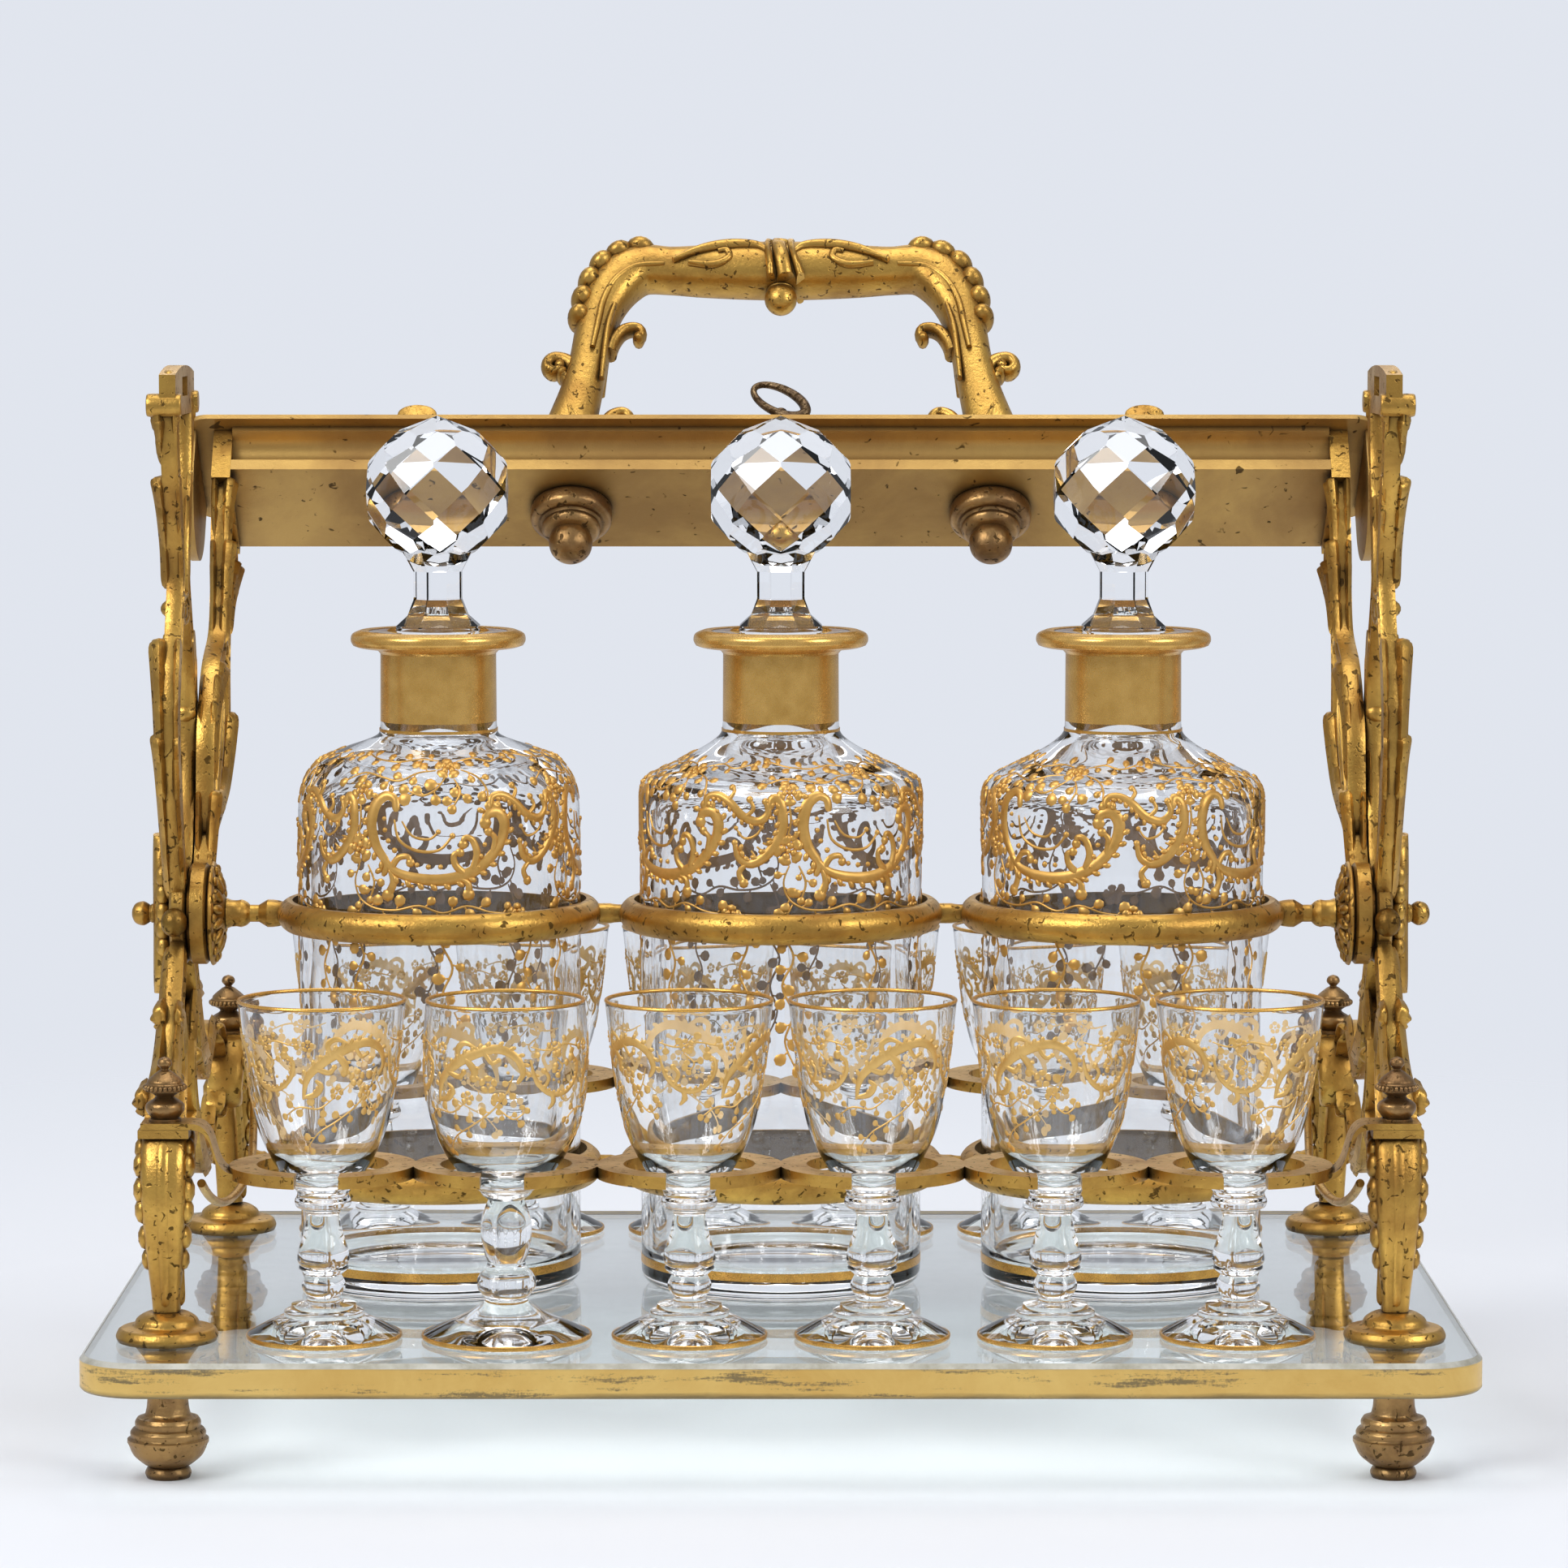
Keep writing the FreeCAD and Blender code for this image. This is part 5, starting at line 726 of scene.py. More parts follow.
# One repeat of the glasses' pattern
glassPattern = {
    "repeats": 3, "girth": 23, "lift": 0.26, "vineHalf": 0.27, "grow": 1.25, "combFrom": 0.6, "combSide": 1,
    "scrolls": [
        ([(-4.2, 76.2), (-2.6, 82.4), (2.4, 87.2), (9, 90.8), (15.4, 92.2), (20.4, 89.8), (22.4, 85.4), (21, 82.6)],
         0.95, (0.35, 1, 1.3, 1.2, 1, 0.8, 0.5), 0),
        ([(-4, 76.6), (-0.4, 77.4), (1.4, 79.8), (0, 81.4)], 0.7, (0.6, 1.1, 1, 0.6), 0),
        ([(0.2, 85), (3.8, 83.8), (5.4, 85.4)], 0.6, (1, 1.1, 0.7), 0.7),
        ([(6, 89), (8.6, 86), (8.4, 83.6)], 0.75, (1, 1.2, 0.9), 1),
        ([(4.4, 88.6), (3.4, 92), (6, 93.6), (9.6, 92)], 0.6, (0.7, 1.1, 1, 0.5), 0),
        ([(11.4, 91.4), (13.6, 88.2), (15.6, 89)], 0.5, (1, 1, 0.8), 0.6),
        ([(-23.6, 88.6), (-21.8, 82.6), (-17.2, 78.8), (-11.6, 79), (-7.6, 82.8), (-7, 87), (-9.6, 88.8)],
         0.62, (0.4, 0.9, 1.1, 1, 0.9, 0.8, 0.8), 1.1),
        ([(-16.8, 79), (-16.2, 76.4), (-17.6, 74.6)], 0.6, (1, 1.1, 0.6), 0),
        ([(-19.6, 80.4), (-18, 83.4), (-19.6, 85.6)], 0.5, (1, 1, 0.8), 0.75),
        ([(-14.2, 78.8), (-12.8, 76.8)], 0.4, (1, 0.6), 0)],
    "dots": [(-12.6, 82.4, 0.4), (-14.6, 82, 0.4), (-16.4, 82.8, 0.4), (17.6, 87.4, 0.4), (18.2, 85.4, 0.4),
             (-2.2, 88.6, 0.4)],
    "roses": [(12.6, 82, 2.7, 0.3), (15.6, 77.4, 2.5, 1), (6.2, 77.8, 2.2, 0.1), (-15.6, 91.8, 2.2, 0.6),
              (-2.4, 91.6, 1.9, 0.2)],
    "vines": [([(19.6, 84.6), (17.8, 79.6), (13, 73.8), (6.6, 69.4), (0.6, 66), (-3.4, 61.6)], 2.5, (2, 0.85)),
              ([(5.6, 76.6), (0.6, 73.2), (-5.6, 73.6), (-10, 71.2)], 2.6, (1.9, 0.8)),
              ([(-23.4, 92.6), (-18.4, 91.4), (-12.6, 92.8), (-6.6, 91.6)], 2.4, (1.6, 0.7)),
              ([(-16.4, 89.6), (-13.4, 86.8), (-14.4, 84.8)], 2, (1.5, 0.7)),
              ([(15.2, 75.2), (19.6, 71.8), (22.8, 73.6)], 2.2, (1.7, 0.75))],
}


def makeGlasses(steps=72):
    for row, firstTurn in (("front", 0.0), ("rear", 13.0)):
        for number in range(6):
            node, label = f"{row}_glass_{number + 1}", f"{row}StemGlass{number + 1}"
            it = glassShapes["egg" if node == "front_glass_2" else "usual"]
            low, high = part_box(node)
            space = Matrix.Translation(((low.x + high.x) / 2 / mm, (low.y + high.y) / 2 / mm, trayTop + seat))
            bm = bmesh.new()
            lathe(bm, profile(it["profile"], 6), steps=steps)
            makePiece(label, bm, space, node, crystal, [node], 42)
            bm = bmesh.new()
            for rim, z, half, rise, corners in giltRims:
                angles = [2 * math.pi * k / corners for k in range(corners + 1)]
                lathe(bm, [(it[rim] + half * math.cos(a), z + rise * math.sin(a)) for a in angles], steps=steps)
            makePiece(label + "GiltRims", bm, space, node, rimGold)
            bm = bmesh.new()
            skin = Skin(profile([it["profile"][it["bowl"]]], 6), glassPattern["girth"])
            turn = (number * 31.7 + firstTurn) % 48.2
            layPattern(Gilder(bm, skin, glassPattern["lift"], number), glassPattern, turn, False)
            makePiece(label + "Gilding", bm, space, node, [paleGilding, paleBack], sharp=60)


makeGlasses()
print("stage: glasses")

# Cast side frames: moulded scrolls in (along the side, above the tray), with husk leaves laid over them. The five
# limits are where the casting is flat for the arm and the end plate of the closed gate
sideFrame = {
    "x": 181.8, "half": 2.6, "band": 3.5,
    "armLow": 126, "rollLow": 262, "plateLow": 246, "slide": 22.4, "innerFace": 179.15, "outerFace": 184.35,
    "scrolls": [
        ([(88.2, 58.5), (74.5, 67), (56.8, 57.6), (39.2, 66), (25.5, 85.8), (9.8, 106)],
         (1.2, 1.1, 0.9, 1, 1.2, 1.3)),
        ([(86.2, 46.1), (70.6, 33.6), (51, 29.4), (33.3, 37.8), (19.6, 52.4), (13.7, 67), (19.6, 79.6), (26.5, 83.7)],
         (0.8, 1, 1.1, 1.1, 1, 0.9, 0.8, 0.7)),
        ([(21.6, 50.3), (11.8, 43), (0, 39.9)], (0.8, 1, 1.3)),
        ([(7.8, 118), (16.7, 137.2), (25.5, 161.3), (24.5, 182.5), (13.7, 200.6), (7.8, 215.7), (12.7, 233.8),
          (20.6, 251.9), (21.6, 270)], (1.1, 1.1, 1.2, 1.2, 1.1, 1, 1.1, 1.2, 1.2)),
        ([(0, 205.1), (5, 205.8), (10.5, 208.1)], (1.5, 1.4, 1.2))],
    # husks: path, width, how far it stands out, lobes
    "husks": [
        ([(8, 118), (17, 137), (25.5, 160), (28, 170)], 5.2, 3.4, 3),
        ([(27, 150), (27.5, 170), (24.5, 185), (19, 197.5)], 4.8, 4.4, 4),
        ([(9, 212), (9.5, 225), (14.5, 238), (18.5, 246)], 4.6, 3.6, 3),
        ([(17, 246), (20.5, 254), (22.5, 262), (23, 268)], 4.4, 3.2, 2),
        ([(12, 104), (27, 84), (38, 70), (52, 62)], 5.2, 4, 5),
        ([(45, 58), (60, 60), (74, 67.5), (84, 66)], 4.6, 3.8, 4),
        ([(18, 54), (30, 41), (45, 31), (58, 28.5)], 4.8, 3.6, 5),
        ([(12.5, 72), (17, 80), (25, 86), (33, 84)], 4.6, 3.8, 3),
        ([(22, 50.5), (12, 43), (3, 40.5), (0, 36)], 4.2, 3.4, 3)],
    "knobs": [((24, 172), 3.2), ((9, 206), 3), ((28, 66), 3), ((0, 40), 4.2), ((0, 205), 3.6),
              ((-16.5, 112), 4.4), ((16.5, 112), 4.4)],
    "disc": [(0, -2.4), (14.2, -2.4), (15.2, -1.6), (15.2, 1.6), (14.2, 2.4), (0, 2.4)],
    "lug": [(8, 117.8), (15, 121.8), (22, 126.4)],
    # head: its top is an arc about the pivot, and a slot lets the bolt in
    "head": {"reach": 165.85, "low": 151.2, "half": 27.9, "thick": 2.45, "slotHalf": 7.6, "slotRise": 2.9,
             "slotMiddle": 159.57, "topSteps": 16},
    "roll": [(0, -5.2), (2.6, -5.2), [(2.6, -5.2), (3.4, -4.6), (3.5, 0), (3.4, 4.6), (2.6, 5.2)], (0, 5.2)],
}
# Leg, in (along the side, above the tray) for the rear one, with half width and half depth; lobes hug both its edges
leg = {"path": [(98, 9, 4.2, 4), (98.6, 15, 4.4, 4.4), (100.6, 24, 4.9, 5.2), (102.6, 34, 5.4, 6),
                (103.4, 43, 5.6, 6.6), (102, 51.5, 5.4, 6.8), (98, 57.2, 5, 6.8), (92, 58.8, 4.4, 6.4),
                (86.8, 55.4, 3.8, 6), (84.6, 49.4, 3.3, 5.6), (86.6, 44.4, 2.9, 5.2), (90.4, 43.6, 2.6, 5),
                (91.6, 46.8, 2.2, 4.8)],
       "bandRows": 44, "lobes": 9, "lobeSize": (2.1, 3.5, 3.2), "seat": (14.6, 13, 2.4), "seatHeight": 60.7,
       "husk": [(90, 43.5), (96, 34), (97.6, 22), (98, 10)],
       "ties": [[(92, 57), (86, 60.5), (80, 65), (74.5, 67)], [(85, 50), (85.8, 47), (84, 44.5), (79, 40)]]}


# How far a strand has swollen at t of its way, with a round tip at each end
def tipShare(t, reach):
    near = min(t, 1 - t) / reach
    return 1.0 if near >= 1 else max(math.sqrt(1 - (1 - near) ** 2), 0.15)


def castScroll(bm, points, shares, it, x=None):
    smooth = spline(points, 7)
    sizes = widths(shares, len(smooth), it["band"])
    rows = []
    for k, (p, size) in enumerate(zip(smooth, sizes)):
        tip = tipShare(k / (len(smooth) - 1), 3.5 / len(smooth))
        rows.append((x if x is not None else it["x"], *p, size * tip, it["half"] * (0.3 + 0.7 * tip)))
    strand(bm, rows, castSection, alongX)


# A husk: a leaf with a lobed edge, whose tip stands up from what it lies on and ends in a round lip
def husk(bm, points, width, stand, lobes, x, side=1):
    smooth = spline(points, 8)
    last = len(smooth) - 1
    rows = []
    for k, ((y, z), size) in enumerate(zip(smooth, widths((0.55, 0.8, 1.0, 1.05, 0.9), last + 1, width))):
        t = k / last
        wave = (t * lobes) % 1.0
        size *= 1 + 0.3 * (wave ** 0.7 - 0.5) * (1 if t < 0.97 else 0)
        out = stand * (0.35 + 0.65 * t * t)
        tip = tipShare(t, 0.14)
        rows.append((x + side * out * 0.5, y, z, size * tip, (1.4 + out * 0.55) * (0.35 + 0.65 * tip)))
    strand(bm, rows, leafSection if side > 0 else [(u, -v) for u, v in leafSection], alongX)


def makeSideFrames():
    it = sideFrame
    for name, space in bothSides(standSpace):
        bm = bmesh.new()
        for flip in (1, -1):
            for points, shares in it["scrolls"]:
                castScroll(bm, [(y * flip, z) for y, z in points], shares, it)
            for points, width, stand, lobes in it["husks"]:
                route = [(y * flip, z) for y, z in points]
                husk(bm, route, width, stand, lobes, it["x"] + 1.6)
                husk(bm, route, width * 0.9, stand * 0.3, lobes, it["x"] - 1.2, -1)
            makeLeg(bm, leg, flip)
        for (y, z), size in it["knobs"]:
            for flip in ((1, -1) if y > 0 else (1,)):
                blob(bm, (it["x"] + 0.6, y * flip, z), (4.0, size, size))
        # Disc behind the rosette, and the lug with the pin that the open arm rests on
        lathe(bm, it["disc"], (it["x"], 0, 113.0), 48, "X")
        castScroll(bm, it["lug"], (1.0, 1.0, 1.2), it)
        makeHead(bm, it)
        for corner in bm.verts:
            aside, height = abs(corner.co.y), corner.co.z
            if height > it["armLow"] and (height < it["rollLow"] or aside < it["slide"]):
                corner.co.x = max(corner.co.x, it["innerFace"])
            if height > it["plateLow"] and aside < it["slide"]:
                corner.co.x = min(corner.co.x, it["outerFace"])
        makePiece(name + "CastSideFrame", bm, space, "stand", gold, [name + "_side_frame"], 42)


def makeLeg(bm, it, flip):
    smooth = spline(it["path"], 6)
    strand(bm, [(legX, y * flip, z, wide, deep) for y, z, wide, deep in smooth], plumpSection, alongX)
    # Raised front band
    strand(bm, [(legX, (y + (1.1 if 12 < z < 56 else 0.4)) * flip, z, wide * 0.9, deep * 0.52)
                for y, z, wide, deep in smooth[:it["bandRows"]]], roundSection, alongX)
    for k in range(it["lobes"]):
        t = k / (it["lobes"] - 1)
        place = round((0.16 + 0.5 * t) * (len(smooth) - 1))
        (y, z, _, deep), after = smooth[place], smooth[place + 1]
        angle = math.atan2(after[1] - z, (after[0] - y) * flip)
        grow = 0.75 + 0.45 * math.sin(math.pi * min(t + 0.15, 1))
        for side in (-1, 1):
            blob(bm, (legX + side * (deep - 0.2), (y - 0.6) * flip, z), [size * grow for size in it["lobeSize"]],
                 Matrix.Rotation(angle, 4, "X"), 10)
    # Seat of the holder strip, the small volute's eye and a leaf inside
    box(bm, (legX, legY * flip, it["seatHeight"]), it["seat"])
    blob(bm, (legX, 88.6 * flip, 47.0), (6.6, 2.6, 2.6))
    husk(bm, [(y * flip, z) for y, z in it["husk"]], 3.4, 1.4, 4, 174.4, -1)
    # Two scrolls tie the leg to the frame
    for points in it["ties"]:
        castScroll(bm, [(y * flip, z) for y, z in points], (0.9, 1.0, 1.0, 0.9), {**sideFrame, "half": 3.2}, 179.6)


def makeHead(bm, it):
    reach, low, half, thick, slotHalf, slotRise, slotMiddle, count = it["head"].values()
    top = [(y, math.sqrt(reach * reach - y * y)) for y in (half - 2 * half * k / count for k in range(count + 1))]
    outer = [(-half + 1, low), (half - 1, low), (half, low + 1)] + top + [(-half, low + 1)]
    outer = [p for n, p in enumerate(outer)
             if n == 0 or (abs(p[0] - outer[n - 1][0]) + abs(p[1] - outer[n - 1][1])) > 0.01]
    slotLow, slotTop = slotMiddle - slotRise, slotMiddle + slotRise
    hole = [(-slotHalf, slotLow), (slotHalf, slotLow), (slotHalf, slotTop), (-slotHalf, slotTop)]
    faces = []
    for x in (it["x"] - thick, it["x"] + thick):
        loops = [[bm.verts.new((x, y, 113 + z)) for y, z in loop] for loop in (outer, hole)]
        edges = [bm.edges.new((loop[k], loop[(k + 1) % len(loop)])) for loop in loops for k in range(len(loop))]
        bmesh.ops.triangle_fill(bm, use_beauty=True, edges=edges)
        faces.append(loops)
    for first, second in zip(*faces):
        for k in range(len(first)):
            bm.faces.new((first[k], first[(k + 1) % len(first)], second[(k + 1) % len(second)], second[k]))
    # Roll across the head's front, a curl above and a leaf below
    for flip in (1, -1):
        lathe(bm, profile(it["roll"]), (it["x"] + 1.2, -25.3 * flip, 267.4), 28, "X")
        blob(bm, (it["x"], -22.0 * flip, 274.4), (2.5, 5.0, 3.6))
        husk(bm, [(-14 * flip, 243), (-19 * flip, 251), (-22 * flip, 259), (-23.5 * flip, 264.5)], 4.6, 3.2, 2,
             it["x"] + 1.2)


makeSideFrames()
print("stage: side frames")

# Turned and carved parts at the pivots, drawn for the right side
pivot = {
    "rosette": [(3.2, 172.7), (15, 172.7), [(15, 172.7), (15.8, 172.2), (15.4, 171.4)], [(14.6, 171.2), (13.2, 170.9),
                (12.2, 171.3)], [(12, 171.2), (9, 170.2), (5.6, 168.8)], (4.6, 168.2), (0, 168.05)],
    "petals": 14, "petalAt": (170.2, 0, 9.8), "petalSize": (1.5, 1.7, 3.4),
    "budAt": (170.9, 0, 13.3), "budSize": (1, 1.5, 1.7),
    "pin": [(2.9, 172.8), (2.9, 190.6), [(2.9, 190.7), (2.6, 191.2), (3, 191.8)], [(3, 191.8), (3.7, 193.4), (3, 195.6),
            (1.4, 196.6), (0, 196.8)]],
    # boss: a plump scroll outside, wide at the top, narrow at the waist, lobed at its edge; along, up, half width
    "bossX": 187.3, "bossDepth": 2.9,
    "boss": [(0.5, 24, 2), (1, 21, 6.4), (0.5, 14, 8.2), (0, 5, 7), (0, -4, 6), (-0.6, -13, 6.6), (-1.2, -20, 5.4),
             (-1, -24, 2)],
    "lobes": [(7.6, -0.5, 2.6), (-7.2, 0.3, 2.4)],
}


def makePivots(it):
    for name, space in bothSides(pivotSpace):
        bm = bmesh.new()
        lathe(bm, profile(it["rosette"]), steps=64, axis="X")
        for k in range(it["petals"]):
            turn = Matrix.Rotation(-2 * math.pi * k / it["petals"], 4, "X")
            blob(bm, turn @ Vector(it["petalAt"]), it["petalSize"], turn @ Matrix.Rotation(0.35, 4, "Y"), 10)
            place = turn @ Matrix.Rotation(math.pi / it["petals"], 4, "X") @ Vector(it["budAt"])
            blob(bm, place, it["budSize"], turn, 8)
        makePiece(name + "LeafRosette", bm, space, "stand", gold, [name + "_rosette"], 40)
        bm = bmesh.new()
        lathe(bm, profile(it["pin"]), steps=32, axis="X")
        makePiece(name + "PivotPinBall", bm, space, "stand", gold, [name + "_pivot_pin"])
        bm = bmesh.new()
        strand(bm, [(it["bossX"], y, z, half, it["bossDepth"]) for y, z, half in spline(it["boss"], 7)],
               ringSection(20, 0.8), alongX)
        for k in range(5):
            for y, lean, half in it["lobes"]:
                blob(bm, (186.6, y + k * lean, 12 - k * 5.4), (2.4, half, 3.4), segments=10)
        makePiece(name + "PlumpScrollBoss", bm, space, "stand", gold, [name + "_outer_boss"], 40)


makePivots(pivot)
print("stage: pivots")

# Gate arms, drawn closed in (behind the pivot line, above the pivot); their heads close the bar's ends
arm = {
    "x": 176, "half": 2.9, "band": 3, "outerFace": 178.9,
    "scrolls": [
        ([(0, 8), (0, 18), (0, 28)], (1.25, 1.2, 1.2)),
        ([(0, 27.2), (10.5, 40.8), (24.2, 60.4), (25.2, 80), (12.6, 99.7), (8.4, 114.8), (14.7, 132.9), (15.8, 150)],
         (1.1, 1, 1.2, 1.2, 1.1, 1, 1.1, 1.2)),
        ([(0, 27.2), (-7.4, 40.8), (-14.7, 57.4), (-12.6, 78.5), (-1, 99.7), (-3.2, 114.8), (-11.6, 132.9),
          (-15.8, 150)], (1.1, 1, 1.2, 1.2, 1.1, 1, 1.1, 1.2)),
        ([(-2.1, 102.7), (5.2, 105.7), (11.5, 102.7)], (1.2, 1.5, 1.2)),
        ([(0, 33.2), (4.2, 54.4), (6.3, 68), (4.2, 84.6)], (0.8, 1.3, 1.6, 0.7))],
    "husks": [
        ([(-8, 42), (-14.7, 58), (-13.6, 72), (-9, 84)], 4.4, 3.4, 4),
        ([(-1.6, 98), (-3, 112), (-8, 124), (-11, 131)], 4.2, 3.2, 3),
        ([(-9.5, 126), (-13, 136), (-15.6, 144), (-16.5, 150)], 4.2, 3.2, 2),
        ([(0, 10), (-0.5, 20), (-3.5, 32), (-7, 40)], 4, 3, 3),
        ([(12, 43), (24, 60), (25.6, 74), (22, 88)], 4.6, 3.4, 4),
        ([(8.8, 108), (9.4, 120), (14, 132), (16.4, 140)], 4.2, 3.2, 3)],
    "ring": [(3.08, -2.9), (14.4, -2.9), (15.4, -2), (15.4, 2), (14.4, 2.9), (3.08, 2.9), (3.08, -2.9)],
    "head": {"half": 20.9, "low": 148, "top": 166.2, "thick": 5.9,
             "slotHalf": 7.3, "slotLow": 156.77, "slotTop": 162.37},
}


def makeArms(it):
    for name, space in bothSides(gateSpace):
        bm = bmesh.new()
        for points, shares in it["scrolls"]:
            castScroll(bm, points, shares, it)
        for points, width, stand, lobes in it["husks"]:
            husk(bm, points, width, stand * 0.35, lobes, it["x"] + 1.2)
            husk(bm, points, width, stand, lobes, it["x"] - 1.0, -1)
        lathe(bm, it["ring"], (it["x"], 0, 0), 48, "X")
        for corner in bm.verts:
            corner.co.x = min(corner.co.x, it["outerFace"])
        # Head, slotted for the bolt
        half, low, top, thick, slotHalf, slotLow, slotTop = it["head"].values()
        for y0, y1, z0, z1 in ((-half, half, low, slotLow), (-half, half, slotTop, top),
                               (-half, -slotHalf, slotLow, slotTop), (slotHalf, half, slotLow, slotTop)):
            box(bm, (it["x"], (y0 + y1) / 2, (z0 + z1) / 2), (thick, y1 - y0, z1 - z0))
        makePiece(name + "CastGateArm", bm, space, "gate", gold, [name + "_gate_arm"], 42)


makeArms(arm)
print("stage: arms")

# Carrying handle, in (across, above the bar's top plate), drawn for the right half
handle = {
    "base": 167.9,
    "spine": [(69.5, 0.4, 10.4, 7.4), (68.5, 8, 9.2, 7.2), (66.4, 18, 7.8, 6.8), (64, 29, 6.8, 6.4),
              (62, 40, 6.4, 6.4), (60.6, 50, 6.5, 6.6), (59, 59, 7, 7), (56, 67.6, 7.8, 7.6), (51, 75, 8.2, 8),
              (44.6, 78.6, 7.6, 8), (36, 78.2, 7.2, 7.8), (26, 78, 7.8, 8.4), (15, 78.2, 8.5, 9),
              (6, 78.2, 8.8, 9.2), (0, 78, 8.6, 9.3)],
    # shell lobes round the outer corner: across, up, length along, turn in degrees
    "lobes": [(45.8, 84.7, 5.2, 8), (52.6, 83, 5.2, -24), (58.2, 78.6, 5, -47), (62, 71.8, 4.8, -64),
              (64.2, 64.4, 4.4, -78), (65.2, 57.2, 3.8, -86)],
    # ribs and leaves in front and behind: (across, up, half width), steps, half depth, share of the plane's distance
    "ribPlanes": (-6.6, 3.6),
    "ribs": [
        ([(60.6, 42, 0.9), (59, 52, 1.1), (57.4, 61, 1.2), (53.6, 69.5, 1.2), (47, 74.8, 1.1), (38, 75.6, 0.8)],
         6, 1.5, 1),
        ([(57.4, 30, 0.8), (56.6, 42, 1), (55.6, 52, 1), (53.6, 60, 0.7)], 6, 1.4, 0.9),
        ([(35, 76, 0.8), (26, 80.6, 1.6), (17, 82.6, 1.9), (8, 82.2, 1.5), (4, 79, 1)], 7, 1.6, 1.28),
        ([(30, 75, 0.7), (22, 74.4, 1.2), (17, 77, 1.3), (17.6, 80, 1.2), (20.4, 79.6, 0.8)], 6, 1.5, 1.25)],
    # curled leaves outside and inside the post: across, up, heading, moves, half width at start and end, half depth
    "curls": [(62.5, 27, 62, [(10, 14), (9, -70), (7, -150), (4, -120)], 3.6, 1.7, 4.6),
              (66, 14, 72, [(14, 18), (8, -30)], 3.8, 1.6, 5),
              (55.5, 44, 98, [(9, 30), (6, 60), (5, 130)], 2.7, 1.5, 4.2),
              (58, 6, 100, [(10, 8), (6, 60), (6, 150)], 3.6, 1.9, 5.2)],
    # fluted leaves at the foot: across, heading
    "leaves": [(62, 84), (66, 97), (70.5, 110), (74, 124)],
    # wraps round the middle: across, half width, share of the depth; their path: share and shift across, up, depth
    "wraps": [(0, 3.1, 1), (-3.9, 1.5, 0.96), (3.9, 1.5, 0.96)],
    "wrapPath": [(1.25, 1.6, 70.2, 8.6), (1.05, 0.4, 76, 10.8), (1, -0.6, 82, 9), (0.9, -0.2, 86, 6.2)],
    "collar": [(0, 70), (4.2, 70), [(4.2, 70), (4.6, 69.4), (4.2, 68.8)], (0, 68.8)],
}
plateSpace = gateSpace @ Matrix.Translation((0, 0, handle["base"]))  # from the bar's top plate


def curl(bm, x, z, heading, moves, start, end, depth):
    path = turtle(x, z, heading, moves, 0.8)
    rows = []
    for k, (px, pz) in enumerate(path):
        t = k / (len(path) - 1)
        rows.append((px, 0.0, pz, start + (end - start) * t, depth * (1 - 0.25 * t)))
    strand(bm, rows, roundSection, alongY)
    px, pz = path[-1]
    blob(bm, (px, 0.0, pz), (end * 1.35, depth * 0.95, end * 1.35), segments=10)


def makeHandle(it):
    bm = bmesh.new()
    half = spline(it["spine"], 7)
    full = [(x, 0.0, z, w, h) for x, z, w, h in half] + [(-x, 0.0, z, w, h) for x, z, w, h in half[-2::-1]]
    strand(bm, full, ringSection(20, 0.8), alongY)
    for s in (1, -1):
        def mirrored(heading):
            return heading if s > 0 else 180 - heading
        for x, z, size, turn in it["lobes"]:
            blob(bm, (x * s, -1.6, z), (size, 7.0, 3.9), Matrix.Rotation(-math.radians(turn) * s, 4, "Y"), 16)
        for y in it["ribPlanes"]:
            for points, steps, depth, share in it["ribs"]:
                strand(bm, [(x * s, y * share, z, w, depth) for x, z, w in spline(points, steps)], roundSection, alongY)
        for x, z, heading, moves, start, end, depth in it["curls"]:
            curl(bm, x * s, z, mirrored(heading), [(length, turn * s) for length, turn in moves], start, end, depth)
        for x, heading in it["leaves"]:
            path = turtle(x * s, 0.6, mirrored(heading), [(11, -8 * s), (8, -26 * s)], 1.0)
            sizes = widths((0.8, 1.0, 0.9, 0.45), len(path), 2.1)
            for y in (-4.6, 4.6):
                strand(bm, [(px, y, pz, size, 2.4) for (px, pz), size in zip(path, sizes)], roundSection, alongY)
        blob(bm, (69.5 * s, 0, 2.4), (10.4, 7.6, 2.3))
    for x, width, depth in it["wraps"]:
        path = spline([(x * share + shift, z, out) for share, shift, z, out in it["wrapPath"]], 6)
        strand(bm, [(px, -1.2, pz, width, out * depth) for px, pz, out in path], plumpSection, alongY)
    # Cap over the wraps, and the ball under them with its collar
    blob(bm, (-0.2, -1.6, 84.2), (6.4, 7.0, 3.2), segments=18)
    blob(bm, (0, -0.5, 66.2), (5.3, 5.3, 5.5), segments=24)
    lathe(bm, profile(it["collar"]), (0, -0.5, 0), 32)
    makePiece("carvedCarryingHandle", bm, plateSpace, "gate", gold, ["handle"], 50)


makeHandle(handle)
print("stage: handle")

# Stepped round nuts under the bar, drawn hanging down
nut = {"x": 66.4, "reach": 151,
       "profile": [(2.7, -0.02), (12.2, -0.02), [(12.2, -0.02), (12.9, -1), (12.9, -4.4), (12, -5.8)], (11.2, -6.1),
                   [(10.6, -6.2), (9.6, -6), (9.2, -6.4)], [(9, -6.8), (9.3, -8.2), (8.4, -9.8), (7, -10.4)],
                   [(6.4, -10.6), (6.9, -13.2), (6.2, -16.6), (4, -19), (1.6, -19.8), (0, -20)]]}


def makeNuts(it):
    bm = bmesh.new()
    for side in (-1, 1):
        lathe(bm, profile(it["profile"]), (it["x"] * side, 0, 0), 64)
    makePiece("steppedRoundNuts", bm, gateSpace @ Matrix.Translation((0, 0, it["reach"])), "gate", bronze,
              ["acorn_nuts"], 35)


